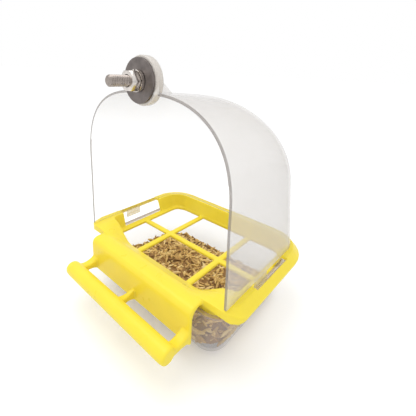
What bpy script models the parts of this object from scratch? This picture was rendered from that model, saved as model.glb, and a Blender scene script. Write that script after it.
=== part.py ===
"""Cage feeder cup: a clear hood, a feeder tray with its perch, a seed cup and a clamp bolt.

The hood is bolted to the cage by its boss. The tray hooks over the cage's lower bar, holds the
hood in its rabbet and carries the seed cup, which pushes up around the tray's basin wall.

Shapes are first laid out in the hood's own frame, in metres: X across, Y backwards from the
hood's open front, Z up from the hood's lower edge. frame_shift() then stands the feeder on the
ground, with the origin under the middle of its length and width.
"""

import math

import bmesh
import bpy
from mathutils import Matrix, Vector

# Clearances
SEAT_GAP = 0.0003          # between faces that rest on each other
RUNNING_GAP = 0.0003       # radial, between the shank and what slides or turns on it

# Hood
HOOD_WIDTH = 0.1280
HOOD_DEPTH = 0.0924
HOOD_HEIGHT = 0.1061
HOOD_WALL = 0.0018
HOOD_SPRING_HEIGHT = 0.0481    # where the straight legs end and the arch begins
LEG_LIMIT = 0.8                # most of an arch's height that its legs may take
HOOD_SIDE_DRAFT = 0.038        # how much a leg leans inwards for each metre of height
HOOD_CORNER_RADIUS = 0.0200    # upright back corners, in plan
HOOD_TOP_RADIUS = 0.0310       # from the roof down to the back wall
HOOD_ROOF_FALL = 0.0037        # from the front arch to the back
HOOD_BACK_LEAN = 0.24          # how much the back wall leans forward for each metre of height
ARCH_EXPONENT_FRONT = 2.7      # 2 is an ellipse, more is squarer
ARCH_EXPONENT_BACK = 2.3

# Snap tabs under the hood's side walls
TAB_LENGTH = 0.0140
TAB_START = 0.0310             # from the hood's front plane
TAB_DROP = 0.0070
TAB_BARB = 0.0012
TAB_BARB_HEIGHT = 0.0022
TAB_BARB_TIP_HEIGHT = 0.0012   # of the barb's widest point above the tab's end

# Boss and clamp hardware: an M6 bolt, its nut and its washers
BOLT_DIAMETER = 0.0060
BOLT_REACH = 0.0200            # from the boss face to the bolt's end
BOLT_CHAMFER = 0.0008
HEAD_ACROSS_FLATS = 0.0100
HEAD_THICKNESS = 0.0040
NUT_ACROSS_FLATS = 0.0100
NUT_THICKNESS = 0.0050
NUT_FACE_DIAMETER = 0.0098     # of the round faces that its corners are turned down to
NUT_CORNER_DROP = 0.0005       # how far the turning reaches down each corner
FENDER_DIAMETER = 0.0240
FENDER_THICKNESS = 0.0015
SPRING_WASHER_DIAMETER = 0.0118
SPRING_WASHER_THICKNESS = 0.0016
SPRING_WASHER_SPLIT = 0.0010
BOSS_DIAMETER = 0.0264
BOSS_PROUD = 0.0022            # in front of the hood's front plane
BOSS_DEPTH = 0.0048
BOSS_EDGE = 0.0010
BOSS_RIB_THICKNESS = 0.0027
BOSS_RIB_LENGTH = 0.0105
BOSS_RIB_RISE = 0.0042         # above the bolt's axis at the boss
BOSS_RIB_ROOT = 0.0011         # how deep its foot is moulded into the roof
RIB_KNEE_ALONG = 0.55          # place of the rib's knee: share of its length
RIB_KNEE_HEIGHT = 0.80         # and share of the height from the roof to the axis

# Tray: rabbet for the hood, flange around it and basin inside it
RABBET_WIDTH_OUTSIDE = 0.0025  # floor outside the hood's wall
RABBET_LEDGE_INSIDE = 0.0013   # floor inside the hood's wall
CREST_HEIGHT = 0.0004          # of the flange's inner edge above the hood's lower edge
FLANGE_REACH = 0.0080          # beyond the hood's outer face
FLANGE_FALL = 0.0050           # of its top face below the hood's lower edge
FLANGE_THICKNESS = 0.0022
FLANGE_EDGE_HEIGHT = 0.0020
FLANGE_EDGE_DRAFT = 0.0002
FLANGE_FRONT_FALL = 0.0010     # of its top face at the front corners
FLANGE_CORNER_DIP = 0.0022     # how far its lower edge dips at the front corners
CREST_FRONT_FALL = 0.0005      # of the crest at the front corners
TRAY_WALL = 0.0018
BASIN_DEPTH = 0.0124           # from the hood's lower edge to the ledge
BASIN_WALL_LEAN = 0.0031       # from the wall's top to its foot
LEDGE_WIDTH = 0.0033
LEDGE_THICKNESS = 0.0022
BASIN_SKIRT = 0.0030           # how far the wall reaches below the ledge's top
BACK_OPENING_RADIUS = 0.0085
BASIN_TOP_RADIUS = 0.0140      # upright back corners of the basin wall at its top
UNDER_CORNER_RADIUS = 0.0170   # and of the wall's outer face under the rabbet
UNDER_FRONT_RADIUS = 0.0060
UNDERSIDE_STEP = 0.0002
LIP_EDGE_Y = 0.0132            # back edge of the lip's slope, where the grille begins
LIP_EDGE_ROUND = 0.0004
LIP_SIDE_EDGE_Y = 0.0155
LIP_SIDE_MIDDLE_Y = 0.0090
LIP_SIDE_FORE_Y = 0.0045
LIP_MIDDLE_SHARE = 0.52        # places of two rings on the slope
LIP_FORE_SHARE = 0.24
LIP_CURVE = 0.28               # 0 is a straight slope, more is steeper at its back
LIP_CORNER_RADIUS = 0.0030     # front corners of the grille's opening
LIP_CORNER_STEP = 0.0005       # how much wider each ring outwards turns its corner
LIP_FRONT_DROP = 0.0034        # of the slope's front end below the hood's lower edge
LIP_SWEEP_START = 0.0320       # from the centre, where the lip starts to rise to the sides
LIP_SWEEP_END = 0.0580
TRAY_FRONT_Y = -0.0005
TRAY_FRONT_DEPTH = 0.0060      # lower edge of the front face below the hood's lower edge
FRONT_CORNER_RADIUS = 0.0090

# Slots for the snap tabs
SLOT_START = 0.0260
SLOT_LENGTH = 0.0400
SLOT_SILL = 0.0004             # above the ledge
SLOT_SETBACK = 0.0010          # how far the cut begins inside the basin wall's foot

# Grille
GRILLE_BAR_WIDTH = 0.0033
GRILLE_BAR_HEIGHT = 0.0028
GRILLE_TOP_DROP = 0.0001       # of the bars' tops below the ledge
GRILLE_BAR_ROOT = 0.0011       # how far the bars run into the lip
BAR_FOOT_SHARE = 0.85          # width of a bar's underside, of its full width
BAR_CROWN_SHARE = 0.70         # rise of its rounded top, of its half width
LONG_BAR_OFFSET = 0.0253
CROSS_BAR_Y = 0.0470

# Hook over the cage's bar
HOOK_HALF_WIDTH = 0.0492
HOOK_CREST_Y = -0.0030
HOOK_CREST_DROP = 0.0023       # below the hood's lower edge
HOOK_REACH = 0.0106            # of the apron's face in front of the hood
HOOK_ROUNDING = 0.0082         # height of the curve from crest to apron
HOOK_WALL = 0.0023
APRON_DEPTH = 0.0266           # lower edge below the hood's lower edge
HOOK_END_ROUNDING = 0.0008
HOOK_EDGE = 0.0006
HOOK_EDGE_LIMIT = 0.4          # most that an edge may take of the wall
HOOK_CROWN = 58.0              # fall behind the crest, in metres for each square metre of run
HOOK_ROOT_Y = 0.0075
HOOK_ROOT_BITE = 0.0008        # how far the hook is moulded into the tray
HOOK_FIRST_ROUND = 0.45        # inset of the middle ring of its rounded ends
HOOK_FIRST_STEP = 0.30         # and how far that ring lies from the end

# Perch
PERCH_DIAMETER = 0.0118
PERCH_HALF_LENGTH = 0.0500
PERCH_Y = -0.0269
PERCH_DROP = 0.0192            # its axis below the hood's lower edge
PERCH_END_SHARE = 0.25         # radius of the flat on its domed ends, of its own radius
STRUT_HALF_WIDTH = 0.0033
STRUT_WAIST = 0.0042
STRUT_WAIST_RISE = 0.0051      # of the waist's middle above the apron's lower edge
STRUT_ROOT_HEIGHT = 0.0110
STRUT_PERCH_HEIGHT = 0.0094
STRUT_EDGE_SHARE = 0.38        # of its smaller half size, cut off each corner
STRUT_PERCH_BITE = 0.0014      # how far it ends beyond the perch's axis
WEB_HALF_WIDTH = 0.0015
WEB_FLARE = 0.0030
WEB_ROOT_HEIGHT = 0.0094

# Seed cup
CUP_WALL = 0.0015
CUP_RIM_DROP = 0.0108          # rim below the hood's lower edge
CUP_BOTTOM_DROP = 0.0465
CUP_FRONT_Y = 0.0
CUP_SIDE_TAPER = 0.0042
CUP_FRONT_TAPER = 0.0010
CUP_CORNER_RADIUS = 0.0160
CUP_FOOT_RADIUS = 0.0060
CUP_BEAD = 0.0009
CUP_BEAD_HEIGHT = 0.0016
CUP_FIT = 0.0003               # between the cup and the basin wall inside it

# Seed fill
FILL_DEPTH_FRONT = 0.0132      # above the cup's floor
FILL_DEPTH_BACK = 0.0057
FILL_SWELL = 0.0012
FILL_RINGS = ((0.0, 0.0), (0.0100, 0.55), (0.0240, 1.0))    # way in from the wall, share of the swell

# Facets
ARCH_STEPS = 36
LEG_STEPS = 4
HOOD_DEPTH_STEPS = 3
HOOD_TOP_STEPS = 12
CORNER_STEPS = 8
RING_FRONT_STEPS = 14
RING_SIDE_STEPS = 8
RING_BACK_STEPS = 4
ROUND_STEPS = 32
SMALL_ROUND_STEPS = 24
FILLET_STEPS = 5
SMOOTH_ANGLE = math.radians(35.0)
QUARTER = math.pi / 2.0

YELLOW = (0.93, 0.80, 0.055, 1.0)
CLEAR = (0.86, 0.88, 0.88, 0.30)
DARK_STEEL = (0.24, 0.22, 0.22, 1.0)
BRIGHT_STEEL = (0.62, 0.60, 0.58, 1.0)
SEED_BROWN = (0.42, 0.25, 0.10, 1.0)


# Derived places in the hood's frame
def hood_half_width():
    return HOOD_WIDTH / 2.0


def bolt_axis_height():
    """The bolt's head lies with one flat on the hood's roof."""
    return HOOD_HEIGHT + SEAT_GAP + HEAD_ACROSS_FLATS / 2.0


def boss_face_y():
    return -BOSS_PROUD


def fender_back_y():
    return boss_face_y() - SEAT_GAP


def spring_washer_back_y():
    return fender_back_y() - FENDER_THICKNESS - SEAT_GAP


def nut_back_y():
    return spring_washer_back_y() - SPRING_WASHER_THICKNESS - SEAT_GAP


def flange_back_y():
    return HOOD_DEPTH + FLANGE_REACH


def perch_front_y():
    return PERCH_Y - PERCH_DIAMETER / 2.0


def frame_shift():
    """Moves the hood's frame so that the origin is under the middle of the feeder."""
    middle_y = (perch_front_y() + flange_back_y()) / 2.0
    return Vector((0.0, -middle_y, CUP_BOTTOM_DROP))


# Tools
def clear_scene():
    for item in list(bpy.data.objects):
        bpy.data.objects.remove(item, do_unlink=True)


def make_material(name, colour, roughness, metallic=0.0):
    material = bpy.data.materials.new(name)
    material.use_nodes = True
    shader = material.node_tree.nodes["Principled BSDF"]
    shader.inputs["Base Color"].default_value = colour
    shader.inputs["Roughness"].default_value = roughness
    shader.inputs["Metallic"].default_value = metallic
    shader.inputs["Alpha"].default_value = colour[3]
    return material


def smoothstep(value):
    value = min(max(value, 0.0), 1.0)
    return value * value * (3.0 - 2.0 * value)


def blend(first, second, share):
    return first + (second - first) * share


def new_object(name, geometry):
    """Makes an object in the hood's frame from a bmesh, which it frees."""
    bmesh.ops.recalc_face_normals(geometry, faces=geometry.faces)
    mesh = bpy.data.meshes.new(name)
    geometry.to_mesh(mesh)
    geometry.free()
    item = bpy.data.objects.new(name, mesh)
    bpy.context.scene.collection.objects.link(item)
    return item


def loft(loops, ring=False):
    """Bridges equal loops of points, and caps the ends or joins the last loop to the first."""
    geometry = bmesh.new()
    rows = [[geometry.verts.new(point) for point in loop] for loop in loops]
    count = len(rows[0])
    pairs = list(zip(rows, rows[1:]))
    if ring:
        pairs.append((rows[-1], rows[0]))
    else:
        geometry.faces.new(rows[0])
        geometry.faces.new(list(reversed(rows[-1])))
    for low, high in pairs:
        for i in range(count):
            j = (i + 1) % count
            geometry.faces.new((low[i], low[j], high[j], high[i]))
    return geometry


def combine(target, tools, operation):
    """Applies a Boolean with each tool in turn and removes the tools."""
    for tool in tools:
        modifier = target.modifiers.new(tool.name, "BOOLEAN")
        modifier.operation = operation
        modifier.solver = "EXACT"
        modifier.object = tool
        graph = bpy.context.evaluated_depsgraph_get()
        mesh = bpy.data.meshes.new_from_object(target.evaluated_get(graph))
        target.modifiers.clear()
        old = target.data
        target.data = mesh
        bpy.data.meshes.remove(old)
        bpy.data.objects.remove(tool, do_unlink=True)
    return target


def place(item, name, origin, material):
    """Gives a piece its name, its own origin, its place on the ground frame and its finish."""
    item.name = name
    item.data.name = name
    item.data.transform(Matrix.Translation(-Vector(origin)))
    item.location = Vector(origin) + frame_shift()
    item.data.materials.clear()
    item.data.materials.append(material)
    item.data.shade_smooth()
    item.data.set_sharp_from_angle(angle=SMOOTH_ANGLE)
    return item


def box(name, low, high):
    geometry = bmesh.new()
    bmesh.ops.create_cube(geometry, size=1.0)
    size = Vector(high) - Vector(low)
    middle = (Vector(high) + Vector(low)) / 2.0
    bmesh.ops.scale(geometry, vec=size, verts=geometry.verts)
    bmesh.ops.translate(geometry, vec=middle, verts=geometry.verts)
    return new_object(name, geometry)


def circle_y(radius, y, height, steps=ROUND_STEPS):
    """Points of a circle whose axis runs along Y at the given height."""
    turns = [math.tau * i / steps for i in range(steps)]
    return [(radius * math.cos(t), y, height + radius * math.sin(t)) for t in turns]


# Hood
def arch_section(half_width, top, exponent):
    """Left foot, over the arch, to the right foot, as (x, z) pairs."""
    spring = min(HOOD_SPRING_HEIGHT, top * LEG_LIMIT)
    shoulder = half_width - HOOD_SIDE_DRAFT * spring
    right = []
    for i in range(LEG_STEPS):
        z = spring * i / LEG_STEPS
        right.append((half_width - HOOD_SIDE_DRAFT * z, z))
    power = 2.0 / exponent
    for i in range(ARCH_STEPS // 2 + 1):
        turn = QUARTER * i / (ARCH_STEPS // 2)
        x = shoulder * max(math.cos(turn), 0.0) ** power
        z = spring + (top - spring) * math.sin(turn) ** power
        right.append((x, z))
    right[-1] = (0.0, top)
    left = [(-x, z) for x, z in right[:-1]]
    return left + list(reversed(right))


def hood_loops(inset):
    """Arches from the open front to the back wall, all moved inwards by the inset."""
    depth = HOOD_DEPTH - inset
    corner = HOOD_CORNER_RADIUS - inset
    rounding = HOOD_TOP_RADIUS - inset
    straight = depth - rounding
    stations = [straight * i / HOOD_DEPTH_STEPS for i in range(HOOD_DEPTH_STEPS)]
    turns = [QUARTER * i / HOOD_TOP_STEPS for i in range(HOOD_TOP_STEPS + 1)]
    stations += [straight + rounding * math.sin(turn) for turn in turns]
    loops = []
    for y in stations:
        into_corner = max(y - (depth - corner), 0.0)
        into_top = max(y - straight, 0.0)
        narrowing = corner - math.sqrt(max(corner ** 2 - into_corner ** 2, 0.0))
        lowering = rounding - math.sqrt(max(rounding ** 2 - into_top ** 2, 0.0))
        share = y / depth
        top = HOOD_HEIGHT - inset - HOOD_ROOF_FALL * share - lowering
        exponent = blend(ARCH_EXPONENT_FRONT, ARCH_EXPONENT_BACK, share)
        section = arch_section(hood_half_width() - inset - narrowing, top, exponent)
        loops.append([(x, y - HOOD_BACK_LEAN * z * share, z) for x, z in section])
    return loops


def hood_shell():
    """An outer and an inner skin, joined around the open front and along the lower edge."""
    geometry = bmesh.new()
    skins = []
    for inset in (0.0, HOOD_WALL):
        rows = [[geometry.verts.new(point) for point in loop] for loop in hood_loops(inset)]
        for near, far in zip(rows, rows[1:]):
            for i in range(len(near) - 1):
                geometry.faces.new((near[i], near[i + 1], far[i + 1], far[i]))
        geometry.faces.new(rows[-1])
        skins.append(rows)
    outer, inner = skins
    edges = [(outer[0], inner[0])]
    edges += [([row[end] for row in outer], [row[end] for row in inner]) for end in (0, -1)]
    edges.append(([outer[-1][0], outer[-1][-1]], [inner[-1][0], inner[-1][-1]]))
    for out, back in edges:
        for i in range(len(out) - 1):
            geometry.faces.new((out[i], out[i + 1], back[i + 1], back[i]))
    return new_object("hood_shell", geometry)


def snap_tab(side):
    """A tongue under the side wall with a barb on its outer face."""
    outer = hood_half_width() - SEAT_GAP / 2.0
    inner = hood_half_width() - HOOD_WALL + SEAT_GAP / 2.0
    profile = [
        (outer, HOOD_WALL),
        (inner, HOOD_WALL),
        (inner, -TAB_DROP),
        (outer, -TAB_DROP),
        (outer + TAB_BARB, -TAB_DROP + TAB_BARB_TIP_HEIGHT),
        (outer, -TAB_DROP + TAB_BARB_HEIGHT),
    ]
    ends = (TAB_START, TAB_START + TAB_LENGTH)
    return new_object("tab", loft([[(side * x, y, z) for x, z in profile] for y in ends]))


def boss_disc():
    """The round clamp face in front of the arch, with a rounded back edge.

    The face is a disc under the washer and a ring around it, in one plane.
    """
    radius = BOSS_DIAMETER / 2.0
    height = bolt_axis_height()
    front = boss_face_y()
    back = front + BOSS_DEPTH
    under_washer = FENDER_DIAMETER / 2.0 + SEAT_GAP / 2.0
    loops = [circle_y(under_washer, front, height), circle_y(radius, front, height)]
    for i in range(FILLET_STEPS):
        turn = QUARTER * i / (FILLET_STEPS - 1)
        reach = radius - BOSS_EDGE * (1.0 - math.cos(turn))
        loops.append(circle_y(reach, back - BOSS_EDGE * (1.0 - math.sin(turn)), height))
    return new_object("boss_disc", loft(loops))


def boss_rib(side):
    """A gusset beside the bolt's head, from the boss down to the roof."""
    start = HEAD_ACROSS_FLATS / math.sqrt(3.0) + RUNNING_GAP * 2.0
    front = boss_face_y() + BOSS_DEPTH / 2.0
    back = boss_face_y() + BOSS_DEPTH + BOSS_RIB_LENGTH
    axis = bolt_axis_height()
    roof = HOOD_HEIGHT - BOSS_RIB_ROOT - HOOD_ROOF_FALL * back / HOOD_DEPTH
    profile = [
        (front, roof),
        (back, roof),
        (blend(front, back, RIB_KNEE_ALONG), blend(roof, axis, RIB_KNEE_HEIGHT)),
        (front, axis + BOSS_RIB_RISE),
    ]
    across = (start, start + BOSS_RIB_THICKNESS)
    return new_object("boss_rib", loft([[(side * x, y, z) for y, z in profile] for x in across]))


def bolt_passage():
    radius = BOLT_DIAMETER / 2.0 + RUNNING_GAP
    ends = (boss_face_y() - BOSS_DEPTH, boss_face_y() + 2.0 * BOSS_DEPTH)
    return new_object("passage", loft([circle_y(radius, y, bolt_axis_height()) for y in ends]))


def build_hood(material):
    hood = hood_shell()
    parts = [boss_disc()]
    for side in (-1, 1):
        parts += [boss_rib(side), snap_tab(side)]
    combine(hood, parts, "UNION")
    combine(hood, [bolt_passage()], "DIFFERENCE")
    return place(hood, "hood", (0.0, 0.0, 0.0), material)


# Clamp hardware
def hexagon(across_flats, y, height):
    return circle_y(across_flats / math.sqrt(3.0), y, height, steps=6)


def build_bolt(material):
    axis = bolt_axis_height()
    head_front = boss_face_y() + BOSS_DEPTH + SEAT_GAP
    radius = BOLT_DIAMETER / 2.0
    tip = boss_face_y() - BOLT_REACH
    shank = new_object("shank", loft([
        circle_y(radius - BOLT_CHAMFER, tip, axis, SMALL_ROUND_STEPS),
        circle_y(radius, tip + BOLT_CHAMFER, axis, SMALL_ROUND_STEPS),
        circle_y(radius, head_front + HEAD_THICKNESS / 2.0, axis, SMALL_ROUND_STEPS),
    ]))
    head = new_object("head", loft([
        hexagon(HEAD_ACROSS_FLATS, head_front, axis),
        hexagon(HEAD_ACROSS_FLATS, head_front + HEAD_THICKNESS, axis),
    ]))
    combine(head, [shank], "UNION")
    return place(head, "clamp_bolt", (0.0, boss_face_y(), axis), material)


def washer_loops(diameter, back, thickness, steps=ROUND_STEPS):
    axis = bolt_axis_height()
    hole = BOLT_DIAMETER / 2.0 + RUNNING_GAP
    outer = diameter / 2.0
    front = back - thickness
    return [
        circle_y(hole, front, axis, steps),
        circle_y(outer, front, axis, steps),
        circle_y(outer, back, axis, steps),
        circle_y(hole, back, axis, steps),
    ]


def build_fender_washer(material):
    back = fender_back_y()
    loops = washer_loops(FENDER_DIAMETER, back, FENDER_THICKNESS)
    washer = new_object("washer", loft(loops, ring=True))
    return place(washer, "fender_washer", (0.0, back, bolt_axis_height()), material)


def build_spring_washer(material):
    back = spring_washer_back_y()
    loops = washer_loops(SPRING_WASHER_DIAMETER, back, SPRING_WASHER_THICKNESS, SMALL_ROUND_STEPS)
    washer = new_object("washer", loft(loops, ring=True))
    axis = bolt_axis_height()
    split = box(
        "split",
        (-SPRING_WASHER_SPLIT / 2.0, back - 2.0 * SPRING_WASHER_THICKNESS, axis),
        (SPRING_WASHER_SPLIT / 2.0, back + SPRING_WASHER_THICKNESS, axis + SPRING_WASHER_DIAMETER),
    )
    combine(washer, [split], "DIFFERENCE")
    return place(washer, "spring_washer", (0.0, back, axis), material)


def build_nut(material):
    """A plain hexagon nut with its corners turned off at both faces."""
    axis = bolt_axis_height()
    back = nut_back_y()
    front = back - NUT_THICKNESS
    blank = new_object("blank", loft([
        hexagon(NUT_ACROSS_FLATS, front, axis),
        hexagon(NUT_ACROSS_FLATS, back, axis),
    ]))
    corner = NUT_ACROSS_FLATS / math.sqrt(3.0)
    face = NUT_FACE_DIAMETER / 2.0
    slope = NUT_CORNER_DROP / (corner - face)
    over = corner - face + RUNNING_GAP
    turned = new_object("turned", loft([
        circle_y(face - RUNNING_GAP, front - RUNNING_GAP * slope, axis),
        circle_y(face + over, front + over * slope, axis),
        circle_y(face + over, back - over * slope, axis),
        circle_y(face - RUNNING_GAP, back + RUNNING_GAP * slope, axis),
    ]))
    combine(blank, [turned], "INTERSECT")
    bore = BOLT_DIAMETER / 2.0 + RUNNING_GAP
    hole = new_object("hole", loft([
        circle_y(bore, front - NUT_THICKNESS, axis),
        circle_y(bore, back + NUT_THICKNESS, axis),
    ]))
    combine(blank, [hole], "DIFFERENCE")
    return place(blank, "hex_nut", (0.0, back, axis), material)


# Tray
def half_ring(half_width, front_mid, front_side, back, front_radius, back_radius):
    """Right half of a rounded rectangle, from the middle of the front to the middle of the back.

    Each point is (x, y, front share, turn share): the front share runs from 0 in the middle of
    the front to 1 at its corner, and the turn share from 0 to 1 around the front corner.
    """
    points = []
    end = half_width - front_radius
    for i in range(RING_FRONT_STEPS):
        x = end * i / RING_FRONT_STEPS
        share = smoothstep((x - LIP_SWEEP_START) / (LIP_SWEEP_END - LIP_SWEEP_START))
        points.append((x, blend(front_mid, front_side, share), share, 0.0))
    for i in range(CORNER_STEPS):
        turn = QUARTER * i / CORNER_STEPS
        x = end + front_radius * math.sin(turn)
        y = front_side + front_radius * (1.0 - math.cos(turn))
        points.append((x, y, 1.0, i / CORNER_STEPS))
    low, high = front_side + front_radius, back - back_radius
    for i in range(RING_SIDE_STEPS):
        points.append((half_width, blend(low, high, i / RING_SIDE_STEPS), 1.0, 1.0))
    for i in range(CORNER_STEPS):
        turn = QUARTER * i / CORNER_STEPS
        x = half_width - back_radius * (1.0 - math.cos(turn))
        points.append((x, high + back_radius * math.sin(turn), 1.0, 1.0))
    for i in range(RING_BACK_STEPS + 1):
        x = (half_width - back_radius) * (1.0 - i / RING_BACK_STEPS)
        points.append((x, back, 1.0, 1.0))
    return points


def tray_ring(half_width, front, back, radii, heights, dip=0.0):
    """A closed ring of the tray.

    front is (middle, side) and heights is (front middle, front corner, sides and back). The dip
    lowers the ring half-way around the front corner.
    """
    half = half_ring(half_width, front[0], front[1], back, radii[0], radii[1])
    middle, corner, side = heights
    loop = []
    for x, y, front_share, turn_share in half:
        z = blend(blend(middle, corner, front_share), side, smoothstep(turn_share))
        z -= dip * math.sin(math.pi * turn_share)
        loop.append((x, y, z))
    mirrored = [(-x, y, z) for x, y, z in loop[1:-1]]
    return loop + list(reversed(mirrored))


def lip_height(y):
    """Height of the lip's slope in the middle, between its front end and the grille."""
    share = (y - TRAY_FRONT_Y) / (LIP_EDGE_Y - TRAY_FRONT_Y)
    bent = (1.0 - LIP_CURVE) * share + LIP_CURVE * share ** 2
    return blend(-LIP_FRONT_DROP, -BASIN_DEPTH, bent)


def tray_body():
    """Basin wall, ledge, rabbet and flange, and the lip that slopes down to the grille.

    The rings run from the ledge's underside up the basin wall, out over the rabbet and the
    flange, back under the flange, down the wall's outer face and up inside its skirt.
    """
    outer = hood_half_width()
    back = HOOD_DEPTH
    corner = HOOD_CORNER_RADIUS
    floor = -SEAT_GAP
    ledge = -BASIN_DEPTH
    ledge_under = ledge - LEDGE_THICKNESS
    skirt = ledge - BASIN_SKIRT
    front_under = -TRAY_FRONT_DEPTH
    rabbet_under = floor - FLANGE_THICKNESS
    flange_low = -FLANGE_FALL - FLANGE_EDGE_HEIGHT
    cup_top = -CUP_RIM_DROP + CUP_FIT
    step = SEAT_GAP / 3.0

    wall_top = outer - HOOD_WALL - RABBET_LEDGE_INSIDE
    wall_foot = wall_top - BASIN_WALL_LEAN
    opening = wall_foot - LEDGE_WIDTH
    rabbet = outer + RABBET_WIDTH_OUTSIDE
    crest = rabbet + CREST_HEIGHT
    flange = outer + FLANGE_REACH
    wall_outer = wall_top + TRAY_WALL
    skirt_taper = CUP_SIDE_TAPER * cup_shrink(skirt)
    waist = cup_half_width() - CUP_WALL - CUP_FIT
    skirt_outer = waist - skirt_taper
    skirt_inner = skirt_outer - TRAY_WALL
    under_ledge = blend(opening, skirt_inner, 0.5)

    wall_top_back = back - HOOD_WALL - SEAT_GAP
    rabbet_back = back + RABBET_WIDTH_OUTSIDE
    waist_back = cup_back_y() - CUP_WALL - CUP_FIT
    skirt_back = waist_back - skirt_taper
    inner_back = skirt_back - TRAY_WALL
    skirt_front = CUP_FRONT_Y + CUP_WALL + CUP_FIT
    wall_front = skirt_front + TRAY_WALL
    edge = LIP_EDGE_Y
    lip_back = edge - LIP_EDGE_ROUND
    lip_middle = blend(TRAY_FRONT_Y, edge, LIP_MIDDLE_SHARE)
    lip_fore = blend(TRAY_FRONT_Y, edge, LIP_FORE_SHARE)
    under_fore = wall_front + step
    under_aft = edge - TRAY_WALL
    draft_y = TRAY_FRONT_Y + FLANGE_EDGE_DRAFT / 2.0

    lip_radii = [LIP_CORNER_RADIUS + LIP_CORNER_STEP * i for i in range(5)]
    wall_radius = BACK_OPENING_RADIUS + LIP_CORNER_STEP * 2.0
    under_radius = BACK_OPENING_RADIUS + LIP_CORNER_STEP * 4.0
    rabbet_radius = corner + RABBET_WIDTH_OUTSIDE
    flange_radii = (FRONT_CORNER_RADIUS, corner + FLANGE_REACH)
    cup_corner = CUP_CORNER_RADIUS - CUP_WALL - CUP_FIT
    inner_corner = cup_corner - TRAY_WALL
    under_lip = lip_height(under_fore) - TRAY_WALL
    aft_lip = lip_height(under_aft) - LEDGE_THICKNESS

    rings = [
        tray_ring(opening, (edge, edge), inner_back - 3.0 * step,
                  (lip_radii[0], BACK_OPENING_RADIUS), (ledge_under,) * 3),
        tray_ring(opening, (edge, edge), inner_back - 3.0 * step,
                  (lip_radii[0], BACK_OPENING_RADIUS), (ledge,) * 3),
        tray_ring(wall_foot, (edge - 2.0 * step,) * 2, inner_back + step,
                  (lip_radii[1], wall_radius), (ledge + step, ledge, ledge)),
        tray_ring(wall_top, (lip_back, LIP_SIDE_EDGE_Y), wall_top_back,
                  (lip_radii[2], BASIN_TOP_RADIUS), (lip_height(lip_back), floor, floor)),
        tray_ring(rabbet, (lip_middle, LIP_SIDE_MIDDLE_Y), rabbet_back,
                  (lip_radii[3], rabbet_radius), (lip_height(lip_middle), floor, floor)),
        tray_ring(crest, (lip_fore, LIP_SIDE_FORE_Y), rabbet_back + CREST_HEIGHT,
                  (lip_radii[4], rabbet_radius),
                  (lip_height(lip_fore), -CREST_FRONT_FALL, CREST_HEIGHT)),
        tray_ring(flange, (TRAY_FRONT_Y,) * 2, flange_back_y(),
                  flange_radii, (-LIP_FRONT_DROP, -FLANGE_FRONT_FALL, -FLANGE_FALL)),
        tray_ring(flange - FLANGE_EDGE_DRAFT, (draft_y,) * 2, flange_back_y() - FLANGE_EDGE_DRAFT,
                  flange_radii, (front_under, front_under, flange_low), FLANGE_CORNER_DIP),
        tray_ring(rabbet, (skirt_front - SEAT_GAP,) * 2, rabbet_back,
                  (UNDER_FRONT_RADIUS, rabbet_radius),
                  (front_under + UNDERSIDE_STEP, front_under + UNDERSIDE_STEP, rabbet_under)),
        tray_ring(wall_outer, (skirt_front,) * 2, waist_back + TRAY_WALL,
                  (cup_corner, UNDER_CORNER_RADIUS),
                  (front_under + 2.0 * UNDERSIDE_STEP, front_under + 2.0 * UNDERSIDE_STEP, rabbet_under)),
        tray_ring(waist, (skirt_front,) * 2, waist_back, (cup_corner,) * 2, (cup_top,) * 3),
        tray_ring(skirt_outer, (skirt_front + step,) * 2, skirt_back, (cup_corner,) * 2, (skirt,) * 3),
        tray_ring(skirt_inner, (wall_front,) * 2, inner_back, (inner_corner,) * 2, (skirt,) * 3),
        tray_ring(skirt_inner - step, (under_fore,) * 2, inner_back - step,
                  (inner_corner,) * 2, (under_lip, under_lip, ledge_under)),
        tray_ring(under_ledge, (under_aft,) * 2, inner_back - 2.0 * step,
                  (lip_radii[2], under_radius), (aft_lip, ledge_under, ledge_under)),
    ]
    return new_object("tray_body", loft(rings, ring=True))


def bar_section(width, height, top):
    """A bar's cross-section with a rounded top, as (across, z) pairs."""
    half = width / 2.0
    foot = half * BAR_FOOT_SHARE
    rise = half * BAR_CROWN_SHARE
    points = [(-foot, top - height), (foot, top - height)]
    for i in range(FILLET_STEPS + 2):
        turn = math.pi * i / (FILLET_STEPS + 1)
        points.append((half * math.cos(turn), top - rise * (1.0 - math.sin(turn))))
    return points


def grille_bars():
    """Two bars along the tray and one across it, which end inside the ledge."""
    top = -BASIN_DEPTH - GRILLE_TOP_DROP
    wall_foot = hood_half_width() - HOOD_WALL - RABBET_LEDGE_INSIDE - BASIN_WALL_LEAN
    reach = wall_foot - LEDGE_WIDTH / 2.0
    near = LIP_EDGE_Y - GRILLE_BAR_ROOT
    far = cup_back_y() - CUP_WALL - CUP_FIT - TRAY_WALL / 2.0 - CUP_SIDE_TAPER * cup_shrink(top)
    section = bar_section(GRILLE_BAR_WIDTH, GRILLE_BAR_HEIGHT, top)
    bars = [new_object("cross_bar", loft([
        [(x, CROSS_BAR_Y + across, z) for across, z in section] for x in (-reach, reach)
    ]))]
    lower = bar_section(GRILLE_BAR_WIDTH, GRILLE_BAR_HEIGHT, top - GRILLE_TOP_DROP)
    for side in (-1, 1):
        bars.append(new_object("long_bar", loft([
            [(side * LONG_BAR_OFFSET + across, y, z) for across, z in lower] for y in (near, far)
        ])))
    return bars


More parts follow.
